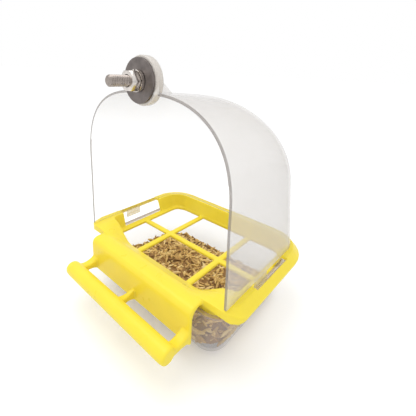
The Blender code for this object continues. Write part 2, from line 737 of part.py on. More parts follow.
def hook_profile(inset):
    """Outline of the hook in (y, z): crest, curve, apron, and back up inside the channel."""
    crest_y, crest_z = HOOK_CREST_Y, -HOOK_CREST_DROP - inset
    reach_y = HOOK_REACH + HOOK_CREST_Y - inset
    rise = HOOK_ROUNDING - inset
    centre_z = crest_z - rise
    outer = []
    for i in range(2 * FILLET_STEPS):
        turn = QUARTER * i / (2 * FILLET_STEPS - 1)
        outer.append((crest_y - reach_y * math.sin(turn), centre_z + rise * math.cos(turn)))
    bottom = -APRON_DEPTH + inset
    face = crest_y - reach_y
    back = -HOOK_REACH + HOOK_WALL - inset
    edge = min(HOOK_EDGE, (back - face) * HOOK_EDGE_LIMIT)
    apron = [
        (face, bottom + edge),
        (face + edge, bottom),
        (back - edge, bottom),
        (back, bottom + edge),
    ]
    inner_reach = back - crest_y
    inner_rise = HOOK_ROUNDING - HOOK_WALL + inset
    inner = []
    for i in range(FILLET_STEPS + 2):
        turn = QUARTER * (1.0 - i / (FILLET_STEPS + 1))
        inner.append((crest_y + inner_reach * math.sin(turn), centre_z + inner_rise * math.cos(turn)))
    slope = []
    for i in range(FILLET_STEPS + 1):
        y = blend(HOOK_ROOT_Y - inset, crest_y, i / (FILLET_STEPS + 1))
        slope.append((y, crest_z - HOOK_CROWN * (y - crest_y) ** 2))
    root = [
        (TRAY_FRONT_Y + HOOK_ROOT_BITE, -HOOK_CREST_DROP - HOOK_WALL - HOOK_ROOT_BITE / 2.0),
        (HOOK_ROOT_Y - inset, slope[0][1] - HOOK_ROOT_BITE),
    ]
    return outer + apron + inner + root + slope


def hook():
    """The hook's outline, drawn along X between two rounded ends."""
    stations = []
    for offset, inset in ((0.0, 1.0), (HOOK_FIRST_STEP, HOOK_FIRST_ROUND), (1.0, 0.0)):
        x = HOOK_HALF_WIDTH - offset * HOOK_END_ROUNDING
        stations.append((x, inset * HOOK_END_ROUNDING))
    loops = [[(-x, y, z) for y, z in hook_profile(inset)] for x, inset in stations]
    loops += [[(x, y, z) for y, z in hook_profile(inset)] for x, inset in reversed(stations)]
    return new_object("hook", loft(loops))


def perch_bar():
    """A round bar with domed ends."""
    radius = PERCH_DIAMETER / 2.0
    straight = PERCH_HALF_LENGTH - radius
    turns = [QUARTER * i / (FILLET_STEPS + 1) for i in range(FILLET_STEPS + 2)]
    stations = [(-1, turn) for turn in reversed(turns)] + [(1, turn) for turn in turns]
    loops = []
    for side, turn in stations:
        x = side * (straight + radius * math.sin(turn))
        reach = radius * max(math.cos(turn), PERCH_END_SHARE)
        angles = [math.tau * i / SMALL_ROUND_STEPS for i in range(SMALL_ROUND_STEPS)]
        loops.append([
            (x, PERCH_Y + reach * math.cos(angle), -PERCH_DROP + reach * math.sin(angle))
            for angle in angles
        ])
    return new_object("perch_bar", loft(loops))


def strut(name, centre_x, root_half_width, perch_half_width, root_height):
    """A waisted arm from the apron to the perch, lofted from eight-sided sections."""
    start = -HOOK_REACH + HOOK_WALL / 2.0
    end = PERCH_Y + STRUT_PERCH_BITE
    root_z = -APRON_DEPTH + root_height / 2.0
    waist_z = -APRON_DEPTH + STRUT_WAIST_RISE
    steps = 2 * FILLET_STEPS
    loops = []
    for i in range(steps + 1):
        share = i / steps
        y = blend(start, end, share)
        near_root = max(1.0 - 2.0 * share, 0.0) ** 2
        near_perch = max(2.0 * share - 1.0, 0.0) ** 2
        height = STRUT_WAIST
        height += (root_height - STRUT_WAIST) * near_root
        height += (STRUT_PERCH_HEIGHT - STRUT_WAIST) * near_perch
        middle = waist_z + (root_z - waist_z) * near_root + (-PERCH_DROP - waist_z) * near_perch
        half_width = blend(root_half_width, perch_half_width, share ** 2)
        cut = min(half_width, height / 2.0) * STRUT_EDGE_SHARE
        loops.append(cut_rectangle(centre_x, middle, half_width, height / 2.0, cut, y))
    return new_object(name, loft(loops))


def cut_rectangle(x, z, half_width, half_height, cut, y):
    """An upright rectangle at y with its four corners cut off."""
    wide, high = half_width - cut, half_height - cut
    corners = [
        (-wide, -half_height), (wide, -half_height), (half_width, -high), (half_width, high),
        (wide, half_height), (-wide, half_height), (-half_width, high), (-half_width, -high),
    ]
    return [(x + across, y, z + up) for across, up in corners]


def tab_slot(side):
    """Opens the basin wall and the rabbet floor above the ledge, out to the flange."""
    wall_foot = hood_half_width() - HOOD_WALL - RABBET_LEDGE_INSIDE - BASIN_WALL_LEAN
    inner = wall_foot - SLOT_SETBACK
    outer = hood_half_width() + RABBET_WIDTH_OUTSIDE - FLANGE_EDGE_DRAFT
    low = (min(side * inner, side * outer), SLOT_START, -BASIN_DEPTH + SLOT_SILL)
    high = (max(side * inner, side * outer), SLOT_START + SLOT_LENGTH, HOOD_WALL)
    return box("tab_slot", low, high)


def build_tray(material):
    tray = tray_body()
    arm_x = HOOK_HALF_WIDTH - STRUT_HALF_WIDTH
    parts = [hook()] + grille_bars()
    parts.append(perch_bar())
    for x in (-arm_x, arm_x):
        parts.append(strut("arm", x, STRUT_HALF_WIDTH, STRUT_HALF_WIDTH, STRUT_ROOT_HEIGHT))
    parts.append(strut("web", 0.0, WEB_HALF_WIDTH, WEB_HALF_WIDTH + WEB_FLARE, WEB_ROOT_HEIGHT))
    combine(tray, parts, "UNION")
    combine(tray, [tab_slot(side) for side in (-1, 1)], "DIFFERENCE")
    return place(tray, "feeder_tray", (0.0, 0.0, 0.0), material)


# Seed cup
def cup_half_width():
    """At the rim, outside the basin wall of the tray."""
    basin = hood_half_width() - HOOD_WALL - RABBET_LEDGE_INSIDE - BASIN_WALL_LEAN + TRAY_WALL
    return basin + CUP_FIT + CUP_WALL + SEAT_GAP


def cup_back_y():
    """The cup's back wall is under the hood's."""
    return HOOD_DEPTH


def cup_loop(inset, z, shrink):
    """A rounded rectangle of the cup; shrink runs from 0 at the rim to 1 at the floor."""
    half_width = cup_half_width() - inset - CUP_SIDE_TAPER * shrink
    front = CUP_FRONT_Y + inset + CUP_FRONT_TAPER * shrink
    back = cup_back_y() - inset - CUP_SIDE_TAPER * shrink
    radius = max(CUP_CORNER_RADIUS - inset, CUP_WALL)
    points = []
    corners = (
        (half_width - radius, front + radius),
        (half_width - radius, back - radius),
        (-half_width + radius, back - radius),
        (-half_width + radius, front + radius),
    )
    for number, (x, y) in enumerate(corners):
        for i in range(CORNER_STEPS + 1):
            turn = QUARTER * (number - 1 + i / CORNER_STEPS)
            points.append((x + radius * math.cos(turn), y + radius * math.sin(turn), z))
    return points


def cup_shrink(z):
    return (-CUP_RIM_DROP - z) / (CUP_BOTTOM_DROP - CUP_RIM_DROP)


def cup_profile(inset, floor_z, foot_radius, top_z):
    """Loops down a wall and around its foot, for the outside or the inside."""
    loops = [cup_loop(inset, top_z, cup_shrink(top_z))]
    for i in range(FILLET_STEPS + 1):
        turn = QUARTER * i / FILLET_STEPS
        z = floor_z + foot_radius * (1.0 - math.sin(turn))
        pull = foot_radius * (1.0 - math.cos(turn))
        loops.append(cup_loop(inset + pull, z, cup_shrink(z)))
    return loops


def cup_floor_z():
    return -CUP_BOTTOM_DROP + CUP_WALL


def build_cup(material):
    rim = -CUP_RIM_DROP
    under_bead = rim - CUP_BEAD_HEIGHT
    outside = cup_profile(0.0, -CUP_BOTTOM_DROP, CUP_FOOT_RADIUS, under_bead - CUP_BEAD)
    inside = cup_profile(CUP_WALL, cup_floor_z(), CUP_FOOT_RADIUS - CUP_WALL, rim)
    bead = [cup_loop(-CUP_BEAD, rim, 0.0), cup_loop(-CUP_BEAD, under_bead, 0.0)]
    loops = list(reversed(inside)) + bead + outside
    cup = new_object("cup", loft(loops))
    return place(cup, "seed_cup", (0.0, 0.0, rim), material)


def build_seed_fill(material):
    """The loose seed, which slopes down to the back and swells a little in the middle."""
    base = cup_floor_z() + SEAT_GAP
    foot = CUP_FOOT_RADIUS - CUP_WALL
    inset = CUP_WALL + SEAT_GAP
    front, back = CUP_FRONT_Y, cup_back_y()
    loops = []
    for i in range(FILLET_STEPS):
        turn = QUARTER * (1.0 - i / (FILLET_STEPS - 1))
        z = base + foot * (1.0 - math.sin(turn))
        loops.append(cup_loop(inset + foot * (1.0 - math.cos(turn)), z, cup_shrink(z)))
    side = cup_shrink(base + FILL_DEPTH_BACK)
    for pull, swell in FILL_RINGS:
        loop = []
        for x, y, _ in cup_loop(inset + pull, base, side):
            depth = blend(FILL_DEPTH_FRONT, FILL_DEPTH_BACK, (y - front) / (back - front))
            loop.append((x, y, base + depth + FILL_SWELL * swell))
        loops.append(loop)
    return place(new_object("fill", loft(loops)), "seed_fill", (0.0, 0.0, base), material)


def main():
    clear_scene()
    yellow = make_material("yellow_plastic", YELLOW, 0.28)
    clear = make_material("clear_plastic", CLEAR, 0.08)
    dark_steel = make_material("dark_steel", DARK_STEEL, 0.40, 1.0)
    bright_steel = make_material("bright_steel", BRIGHT_STEEL, 0.22, 1.0)
    seed = make_material("seed", SEED_BROWN, 0.80)
    build_hood(clear)
    build_bolt(bright_steel)
    build_fender_washer(dark_steel)
    build_spring_washer(bright_steel)
    build_nut(bright_steel)
    build_tray(yellow)
    build_cup(clear)
    build_seed_fill(seed)


main()
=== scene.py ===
"""Looks of a cage feeder cup: clear hood, yellow tray, clear seed cup, seed and clamp hardware.

Lengths are in metres. Y runs backwards from the hood's open front and Z runs up. Each piece is
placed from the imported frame's boxes, so that it lies where its solid lies. Points nearer than
WELD are merged, and what is nearer than NEAR to a plane counts as lying on it.
"""

from __future__ import annotations

import logging
import math
from collections.abc import Callable, Iterator, Sequence
from contextlib import contextmanager
from dataclasses import dataclass
from enum import Enum

import bmesh
import bpy
import numpy as np
from mathutils import Matrix, Vector


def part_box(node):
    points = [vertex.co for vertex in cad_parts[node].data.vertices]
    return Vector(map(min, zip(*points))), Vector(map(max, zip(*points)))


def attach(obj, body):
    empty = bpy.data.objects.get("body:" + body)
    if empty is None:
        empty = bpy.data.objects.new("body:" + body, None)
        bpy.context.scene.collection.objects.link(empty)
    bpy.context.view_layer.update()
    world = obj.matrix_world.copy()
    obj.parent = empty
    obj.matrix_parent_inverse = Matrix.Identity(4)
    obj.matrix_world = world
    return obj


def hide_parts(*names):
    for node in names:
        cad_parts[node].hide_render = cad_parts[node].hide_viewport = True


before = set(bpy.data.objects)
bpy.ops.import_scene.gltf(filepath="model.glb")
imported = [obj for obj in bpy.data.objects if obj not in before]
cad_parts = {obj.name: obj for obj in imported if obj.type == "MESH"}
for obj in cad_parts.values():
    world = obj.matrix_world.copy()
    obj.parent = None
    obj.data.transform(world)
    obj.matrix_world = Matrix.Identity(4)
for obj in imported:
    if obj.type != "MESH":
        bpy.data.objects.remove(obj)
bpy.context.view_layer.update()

LOG = logging.getLogger("cage_feeder")
QUARTER_TURN = math.pi / 2.0
HOOD_DEPTH = 0.0924
WELD = 0.00001
NEAR = 0.0001
CREASE_DEGREES = 35.0
SHARP_DEGREES = 50.0
ROUND_SIDES = 96
SIDES = (-1, 1)
MOTTLE_SPAN = (0.3, 0.7)
BUMP_HEIGHT = 0.0002
WHITE = (1.0, 1.0, 1.0, 1.0)

Point = tuple[float, float, float]
Colour = tuple[float, float, float]
Pair = tuple[float, float]
Piece = bpy.types.Object
Socket = bpy.types.NodeSocket
Node = bpy.types.Node
Test = Callable[[bmesh.types.BMEdge | bmesh.types.BMFace], bool]


class Body(Enum):
    """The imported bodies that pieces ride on."""

    TRAY = "tray"
    HOOD = "hood"
    CUP = "cup"
    WASHERS = "washers"
    NUT = "nut"


class Slot(Enum):
    """The record's material slots."""

    HOOD = "hood_clear"
    CUP = "cup_clear"
    TRAY = "tray_yellow"
    SEED = "seed_mix"
    BRIGHT = "bright_zinc"
    DARK = "dark_zinc"


def blend(first: float, second: float, share: float) -> float:
    """Returns the value that lies a share of the way from first to second."""
    return first + (second - first) * share


def sharp_in_plane(axis: int, place: float) -> Test:
    """Makes a test that picks sharp edges by their place.

    Args:
        axis: The axis that the plane lies across, 1 for Y and 2 for Z.
        place: Where the plane is along that axis.

    Returns:
        A test that passes sharp edges in that plane.
    """
    def test(edge: bmesh.types.BMEdge) -> bool:
        """Says whether an edge is sharp and has both ends in the plane."""
        in_plane = all(abs(vertex.co[axis] - place) < 2.0 * WELD for vertex in edge.verts)
        return in_plane and edge.calc_face_angle(0.0) > math.radians(SHARP_DEGREES)

    return test


class Bench:
    """Blender's modelling operators, used on one piece at a time."""

    @staticmethod
    def clear() -> None:
        """Leaves nothing selected, in object mode."""
        if bpy.context.object and bpy.context.object.mode != "OBJECT":
            bpy.ops.object.mode_set(mode="OBJECT")
        bpy.ops.object.select_all(action="DESELECT")

    @staticmethod
    def take(piece: Piece) -> None:
        """Selects one piece alone and makes it active."""
        Bench.clear()
        bpy.context.view_layer.objects.active = piece
        piece.select_set(True)

    @staticmethod
    def name(name: str) -> Piece:
        """Names the primitive that was just added, and its mesh, and returns it."""
        piece = bpy.context.object
        piece.name = name
        piece.data.name = name
        return piece

    @staticmethod
    def seat(piece: Piece) -> Piece:
        """Moves a piece's place, turn and scale into its mesh.

        Args:
            piece: The piece to seat.

        Returns:
            The same piece, with its object at the origin.
        """
        Bench.take(piece)
        bpy.ops.object.transform_apply(location=True, rotation=True, scale=True)
        return piece

    @staticmethod
    @contextmanager
    def editing(piece: Piece, kind: str = "", test: Test | None = None) -> Iterator[None]:
        """Opens a piece in edit mode, and closes it after the block.

        Args:
            piece: The piece to work on.
            kind: EDGE or FACE, where the test picks some of them.
            test: Says for an edge or a face whether it is selected. Without it, all is selected.

        Yields:
            Nothing, while edit mode is open.
        """
        Bench.take(piece)
        bpy.ops.object.mode_set(mode="EDIT")
        if test:
            bpy.ops.mesh.select_mode(type=kind)
            bpy.ops.mesh.select_all(action="DESELECT")
            mesh = bmesh.from_edit_mesh(piece.data)
            for part in mesh.edges if kind == "EDGE" else mesh.faces:
                if test(part):
                    part.select_set(True)
            bmesh.update_edit_mesh(piece.data)
        else:
            bpy.ops.mesh.select_all(action="SELECT")
        yield
        bpy.ops.object.mode_set(mode="OBJECT")

    @staticmethod
    def cylinder(
        name: str, radius: float, depth: float, centre: Point, sides: int, upright: bool = False
    ) -> Piece:
        """Adds a cylinder.

        Args:
            name: The piece's name.
            radius: Its radius.
            depth: Its length.
            centre: The middle of its axis.
            sides: How many sides it has.
            upright: Whether its axis runs along Z, and not along Y.

        Returns:
            The new piece, seated.
        """
        turn = (0.0 if upright else QUARTER_TURN, 0.0, 0.0)
        Bench.clear()
        bpy.ops.mesh.primitive_cylinder_add(
            vertices=sides, radius=radius, depth=depth, location=centre, rotation=turn
        )
        return Bench.seat(Bench.name(name))

    @staticmethod
    def block(name: str, low: Vector, high: Vector) -> Piece:
        """Adds a box between two corners and returns it, seated."""
        Bench.clear()
        bpy.ops.mesh.primitive_cube_add(size=1.0, location=(low + high) / 2.0, scale=high - low)
        return Bench.seat(Bench.name(name))

    @staticmethod
    def modify(piece: Piece, kind: str, **settings: object) -> Piece:
        """Adds a modifier with these settings and applies it.

        Args:
            piece: The piece to change.
            kind: The modifier's type.
            **settings: The modifier's values by name.

        Returns:
            The same piece.
        """
        Bench.take(piece)
        modifier = piece.modifiers.new(kind.title(), kind)
        for key, value in settings.items():
            setattr(modifier, key, value)
        bpy.ops.object.modifier_apply(modifier=modifier.name)
        return piece

    @staticmethod
    def unite(piece: Piece, tools: Sequence[Piece], operation: str = "UNION") -> Piece:
        """Applies a Boolean with each tool and removes the tools.

        Args:
            piece: The piece to change.
            tools: The shapes that are added or cut away.
            operation: The Boolean's operation.

        Returns:
            The same piece.
        """
        for tool in tools:
            Bench.modify(piece, "BOOLEAN", operation=operation, solver="EXACT", object=tool)
            bpy.data.objects.remove(tool, do_unlink=True)
        return piece

    @staticmethod
    def round_edges(piece: Piece, width: float, segments: int = 3, angle: float = 40.0) -> Piece:
        """Rounds a piece's sharp edges with a Bevel modifier and returns it."""
        return Bench.modify(
            piece, "BEVEL", width=width, segments=segments, limit_method="ANGLE",
            angle_limit=math.radians(angle), use_clamp_overlap=True,
        )

    @staticmethod
    def smooth(piece: Piece, angle: float) -> None:
        """Shades a piece smooth apart from its sharp edges."""
        Bench.take(piece)
        bpy.ops.object.shade_smooth_by_angle(angle=math.radians(angle))

    @staticmethod
    def copy_node(node: str, name: str) -> Piece:
        """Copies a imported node's mesh into a new piece and merges its loose triangles.

        Args:
            node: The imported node.
            name: The new piece's name.

        Returns:
            The new piece.
        """
        piece = bpy.data.objects.new(name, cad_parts[node].data.copy())
        piece.data.name = name
        piece.data.materials.clear()
        bpy.context.scene.collection.objects.link(piece)
        with Bench.editing(piece):
            bpy.ops.mesh.remove_doubles(threshold=WELD)
        return piece

    @staticmethod
    def dress(piece: Piece, *finishes: Finish) -> None:
        """Gives a piece its finishes, in the order of their material numbers."""
        for finish in finishes:
            piece.data.materials.append(finish.build())

    @staticmethod
    def finish(piece: Piece, body: Body, slot: Slot, *nodes: str) -> None:
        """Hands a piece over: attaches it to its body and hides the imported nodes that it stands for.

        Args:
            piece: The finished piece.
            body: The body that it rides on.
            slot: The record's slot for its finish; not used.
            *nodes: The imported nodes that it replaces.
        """
        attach(piece, body.value)
        if nodes:
            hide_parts(*nodes)
        LOG.info("%s: %d faces, rides on %s", piece.name, len(piece.data.polygons), body.value)


class NodeTree:
    """A material's or a group's nodes, added and joined by short calls."""

    def __init__(self, tree: bpy.types.NodeTree) -> None:
        """Keeps the tree that the nodes go into."""
        self.tree = tree

    @staticmethod
    def fill(node: Node, numbers: dict[str | int, object]) -> None:
        """Sets a node's own inputs, named by their labels or places."""
        for label, number in numbers.items():
            node.inputs[label].default_value = number

    def add(
        self, kind: str, numbers: dict[str | int, object] | None = None, **values: object
    ) -> Node:
        """Adds a node and sets its properties and inputs.

        Args:
            kind: The node's type.
            numbers: The inputs that are set, by their labels or places.
            **values: The node's properties by name.

        Returns:
            The new node.
        """
        node = self.tree.nodes.new(kind)
        for key, value in values.items():
            setattr(node, key, value)
        self.fill(node, numbers or {})
        return node

    def join(self, source: Socket, target: Socket) -> None:
        """Joins an output to an input."""
        self.tree.links.new(source, target)

    def ramp(self, source: Socket, stops: Sequence[tuple[float, Colour]]) -> Socket:
        """Turns a value into a colour.

        Args:
            source: The value's output.
            stops: Places along the ramp with their colours.

        Returns:
            The colour's output.
        """
        node = self.add("ShaderNodeValToRGB")
        elements = node.color_ramp.elements
        while len(elements) < len(stops):
            elements.new(0.5)
        for element, (place, colour) in zip(elements, stops):
            element.position = place
            element.color = (*colour, 1.0)
        self.join(source, node.inputs["Fac"])
        return node.outputs["Color"]

    def span(
        self, source: Socket, low: float, high: float, start: float = 0.0, end: float = 1.0
    ) -> Socket:
        """Maps a value to another range.

        Args:
            source: The value's output.
            low: What the start becomes.
            high: What the end becomes.
            start: Where the value starts.
            end: Where it ends.

        Returns:
            The mapped value's output.
        """
        limits = {"From Min": start, "From Max": end, "To Min": low, "To Max": high}
        node = self.add("ShaderNodeMapRange", limits)
        self.join(source, node.inputs["Value"])
        return node.outputs["Result"]


class SurfaceWear:
    """A node group that the mouldings and the metal share: a soft mottle with a fine bump."""

    NAME = "surface_wear"

    @classmethod
    def group(cls) -> bpy.types.NodeTree:
        """Returns the group, and builds it the first time.

        Returns:
            The group's node tree. Its inputs are Broad and Fine scales, and its outputs are
            Mottle, a value about one half, and Grain, a fine height.
        """
        found = bpy.data.node_groups.get(cls.NAME)
        if found:
            return found
        group = bpy.data.node_groups.new(cls.NAME, "ShaderNodeTree")
        for label in ("Broad", "Fine"):
            group.interface.new_socket(name=label, in_out="INPUT", socket_type="NodeSocketFloat")
        for label in ("Mottle", "Grain"):
            group.interface.new_socket(name=label, in_out="OUTPUT", socket_type="NodeSocketFloat")
        tree = NodeTree(group)
        source = tree.add("NodeGroupInput")
        target = tree.add("NodeGroupOutput")
        place = tree.add("ShaderNodeTexCoord").outputs["Object"]
        for label, detail, out in (("Broad", 3.0, "Mottle"), ("Fine", 2.0, "Grain")):
            pattern = tree.add("ShaderNodeTexNoise", {"Detail": detail})
            tree.join(source.outputs[label], pattern.inputs["Scale"])
            tree.join(place, pattern.inputs["Vector"])
            tree.join(pattern.outputs["Fac"], target.inputs[out])
        return group


@dataclass(frozen=True)
class Finish:
    """What every finish has: a name, a colour, and how rough and how mottled it is."""

    name: str
    colour: Colour
    roughness: float
    roughness_spread: float
    broad_scale: float
    fine_scale: float
    bump: float

    MOTTLING = 0.0

    def start(self) -> tuple[bpy.types.Material, NodeTree, Node, Socket]:
        """Builds the shader, its roughness and its bump.

        Returns:
            The material, its node tree, its Principled shader and the mottle's output.
        """
        material = bpy.data.materials.new(self.name)
        material.use_nodes = True
        material.diffuse_color = (*self.colour, 1.0)
        tree = NodeTree(material.node_tree)
        shader = material.node_tree.nodes["Principled BSDF"]
        scales = {"Broad": self.broad_scale, "Fine": self.fine_scale}
        wear = tree.add("ShaderNodeGroup", scales, node_tree=SurfaceWear.group())
        mottle = wear.outputs["Mottle"]
        low = self.roughness - self.roughness_spread
        high = self.roughness + self.roughness_spread
        tree.join(tree.span(mottle, low, high, *MOTTLE_SPAN), shader.inputs["Roughness"])
        bump = tree.add("ShaderNodeBump", {"Strength": self.bump, "Distance": BUMP_HEIGHT})
        tree.join(wear.outputs["Grain"], bump.inputs["Height"])
        tree.join(bump.outputs["Normal"], shader.inputs["Normal"])
        return material, tree, shader, mottle

    def shades(self) -> list[tuple[float, Colour]]:
        """Works out how the mottle varies the colour.

        Returns:
            A ramp's stops, from a darker to a lighter shade.
        """
        factors = (1.0 - self.MOTTLING, 1.0 + self.MOTTLING)
        shades = [tuple(min(channel * factor, 1.0) for channel in self.colour) for factor in factors]
        return list(zip(MOTTLE_SPAN, shades))

    def build(self) -> bpy.types.Material:
        """Returns the plain material, which each kind of finish colours in its own way."""
        return self.start()[0]


@dataclass(frozen=True)
class MouldedPlastic(Finish):
    """Glossy opaque moulding with a little light inside it."""

    glow: float = 0.06
    gloss: float = 0.26

    MOTTLING = 0.02
    GLOW_REACH = (1.0, 0.8, 0.2)
    GLOW_DEPTH = 0.002

    def build(self) -> bpy.types.Material:
        """Returns the finished material."""
        material, tree, shader, mottle = self.start()
        tree.join(tree.ramp(mottle, self.shades()), shader.inputs["Base Color"])
        tree.fill(shader, {
            "Subsurface Weight": self.glow,
            "Subsurface Radius": self.GLOW_REACH,
            "Subsurface Scale": self.GLOW_DEPTH,
            "Specular IOR Level": self.gloss,
        })
        return material


@dataclass(frozen=True)
class ClearPlastic(Finish):
    """Clear moulding with a haze that thickens edge-on, darkening there as painted shade for refraction.
    """

    edge_shade_colour: Colour
    haze_facing: float
    haze_edge: float
    from_behind: float = 1.0

    MOTTLING = 0.015
    REFRACTION = 1.55
    EDGE_BLEND = 0.35
    EDGE_POWER = 1.8

    def build(self) -> bpy.types.Material:
        """Returns the finished material."""
        material, tree, shader, mottle = self.start()
        layer = tree.add("ShaderNodeLayerWeight", {"Blend": self.EDGE_BLEND})
        facing = tree.add("ShaderNodeMath", {1: self.EDGE_POWER}, operation="POWER")
        tree.join(layer.outputs["Facing"], facing.inputs[0])
        # Painted shade: the colour darkens where the wall is seen edge-on, standing in for refraction.
        colour = tree.add("ShaderNodeMix", {7: (*self.edge_shade_colour, 1.0)}, data_type="RGBA")
        tree.join(facing.outputs[0], colour.inputs["Factor"])
        tree.join(tree.ramp(mottle, self.shades()), colour.inputs[6])
        tree.join(colour.outputs[2], shader.inputs["Base Color"])
        haze = tree.add("ShaderNodeMath", operation="MULTIPLY")
        tree.join(tree.span(facing.outputs[0], self.haze_facing, self.haze_edge), haze.inputs[0])
        behind = tree.add("ShaderNodeNewGeometry").outputs["Backfacing"]
        tree.join(tree.span(behind, 1.0, self.from_behind), haze.inputs[1])
        tree.join(haze.outputs[0], shader.inputs["Alpha"])
        tree.fill(shader, {"IOR": self.REFRACTION})
        return material


@dataclass(frozen=True)
class ZincPlate(Finish):
    """Plated steel."""

    MOTTLING = 0.22

    def build(self) -> bpy.types.Material:
        """Returns the finished material."""
        material, tree, shader, mottle = self.start()
        tree.join(tree.ramp(mottle, self.shades()), shader.inputs["Base Color"])
        tree.fill(shader, {"Metallic": 1.0})
        return material


@dataclass(frozen=True)
class SeedCoat(Finish):
    """Dry husk, whose shade each grain carries in an attribute."""

    TONE = "grain_tone"
    STREAKS = 0.25
    STOPS = (
        (0.05, (0.045, 0.020, 0.009)),
        (0.22, (0.22, 0.11, 0.035)),
        (0.45, (0.56, 0.34, 0.11)),
        (0.70, (0.84, 0.60, 0.22)),
        (0.95, (0.98, 0.82, 0.45)),
    )

    def build(self) -> bpy.types.Material:
        """Returns the finished material."""
        material, tree, shader, mottle = self.start()
        tone = tree.add("ShaderNodeAttribute", attribute_name=self.TONE, attribute_type="GEOMETRY")
        streak = tree.add("ShaderNodeMix", {"Factor": self.STREAKS}, data_type="FLOAT")
        tree.join(tone.outputs["Fac"], streak.inputs[2])
        tree.join(mottle, streak.inputs[3])
        tree.join(tree.ramp(streak.outputs[0], self.STOPS), shader.inputs["Base Color"])
        return material


YELLOW = MouldedPlastic(
    "yellow_moulding", colour=(0.91, 0.735, 0.058), roughness=0.30, roughness_spread=0.03,
    broad_scale=90.0, fine_scale=700.0, bump=0.03,
)
HOOD_CLEAR = ClearPlastic(
    "hood_plastic", colour=(0.77, 0.735, 0.70), roughness=0.12, roughness_spread=0.03,
    broad_scale=40.0, fine_scale=300.0, bump=0.02,
    edge_shade_colour=(0.26, 0.235, 0.215), haze_facing=0.46, haze_edge=0.86, from_behind=0.12,
)
# Painted shade: the hood's inward faces get a darker copy of its clear plastic.
HOOD_INSIDE_SHADE = ClearPlastic(
    "hood_inside_painted_shade", colour=(0.45, 0.435, 0.425), roughness=0.12, roughness_spread=0.03,
    broad_scale=40.0, fine_scale=300.0, bump=0.02,
    edge_shade_colour=(0.37, 0.34, 0.315), haze_facing=0.06, haze_edge=0.50,
)
# Painted shade: the front rim is dark grey for the darkness that refraction gives the clear edge.
HOOD_RIM_SHADE = ClearPlastic(
    "hood_rim_painted_shade", colour=(0.30, 0.27, 0.25), roughness=0.20, roughness_spread=0.04,
    broad_scale=60.0, fine_scale=900.0, bump=0.05,
    edge_shade_colour=(0.22, 0.20, 0.18), haze_facing=0.80, haze_edge=0.95,
)
BOSS_CLEAR = ClearPlastic(
    "boss_plastic", colour=(0.74, 0.69, 0.63), roughness=0.22, roughness_spread=0.04,
    broad_scale=60.0, fine_scale=900.0, bump=0.05,
    edge_shade_colour=(0.45, 0.42, 0.38), haze_facing=0.72, haze_edge=0.95,
)
# Painted tray yellow: the clear tabs are tinted tan for the yellow tray seen through them.
TAB_CLEAR_TRAY_YELLOW = ClearPlastic(
    "tab_plastic_painted_tray_yellow", colour=(0.80, 0.70, 0.42), roughness=0.15, roughness_spread=0.04,
    broad_scale=60.0, fine_scale=900.0, bump=0.05,
    edge_shade_colour=(0.45, 0.38, 0.22), haze_facing=0.40, haze_edge=0.92,
)
CUP_CLEAR = ClearPlastic(
    "cup_plastic", colour=(0.62, 0.59, 0.61), roughness=0.10, roughness_spread=0.03,
    broad_scale=50.0, fine_scale=300.0, bump=0.02,
    edge_shade_colour=(0.44, 0.41, 0.41), haze_facing=0.28, haze_edge=0.62, from_behind=0.12,
)
# Painted shade: the cup's inward faces get a dark grey copy of its clear plastic for the shade inside
# the cup.
CUP_INSIDE_SHADE = ClearPlastic(
    "cup_inside_painted_shade", colour=(0.26, 0.26, 0.27), roughness=0.12, roughness_spread=0.03,
    broad_scale=50.0, fine_scale=300.0, bump=0.02,
    edge_shade_colour=(0.30, 0.29, 0.29), haze_facing=0.13, haze_edge=0.40, from_behind=0.0,
)
# The rim's bead has a thicker haze, and its brownish dark colour is painted shade under the tray's edge.
CUP_RIM_SHADE = ClearPlastic(
    "cup_rim_painted_shade", colour=(0.50, 0.40, 0.35), roughness=0.20, roughness_spread=0.04,
    broad_scale=60.0, fine_scale=900.0, bump=0.05,
    edge_shade_colour=(0.32, 0.24, 0.20), haze_facing=0.60, haze_edge=0.90,
)
DARK_ZINC = ZincPlate(
    "dark_zinc_plate", colour=(0.205, 0.18, 0.17), roughness=0.42, roughness_spread=0.08,
    broad_scale=260.0, fine_scale=5200.0, bump=0.25,
)
BRIGHT_ZINC = ZincPlate(
    "bright_zinc_plate", colour=(0.70, 0.655, 0.615), roughness=0.24, roughness_spread=0.08,
    broad_scale=340.0, fine_scale=5200.0, bump=0.18,
)
BOLT_ZINC = ZincPlate(
    "bolt_zinc_plate", colour=(0.37, 0.325, 0.295), roughness=0.30, roughness_spread=0.08,
    broad_scale=340.0, fine_scale=5200.0, bump=0.18,
)
HUSK = SeedCoat(
    "seed_husk", colour=(0.45, 0.30, 0.12), roughness=0.62, roughness_spread=0.10,
    broad_scale=700.0, fine_scale=3600.0, bump=0.35,
)
# Painted shade: the bed under the grains is a darker brown for the shade in the gaps between them.
SEED_BED_SHADE = MouldedPlastic(
    "seed_bed_painted_shade", colour=(0.33, 0.195, 0.085), roughness=0.85, roughness_spread=0.05,
    broad_scale=500.0, fine_scale=2600.0, bump=0.4,
    glow=0.0, gloss=0.0,
)


@dataclass
class Datum:
    """Places that every piece shares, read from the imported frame."""

    tab_drop: float = 0.0070

    def __post_init__(self) -> None:
        """Works out the hood's front plane and lower edge, and the bolt's axis."""
        low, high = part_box("hood")
        self.front_y: float = high.y - HOOD_DEPTH
        self.edge_z: float = low.z + self.tab_drop
        nut_low, nut_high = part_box("hex_nut")
        self.bolt_z: float = (nut_low.z + nut_high.z) / 2.0

    def place(self, x: float, y: float, z: float) -> Vector:
        """Returns a point of the hood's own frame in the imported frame."""
        return Vector((x, y + self.front_y, z + self.edge_z))

    def block(self, name: str, xs: Pair, ys: Pair, zs: Pair) -> Piece:
        """Adds a box over three spans of the hood's own frame, each given in either order."""
        low, high = zip(*(sorted(span) for span in (xs, ys, zs)))
        return Bench.block(name, self.place(*low), self.place(*high))


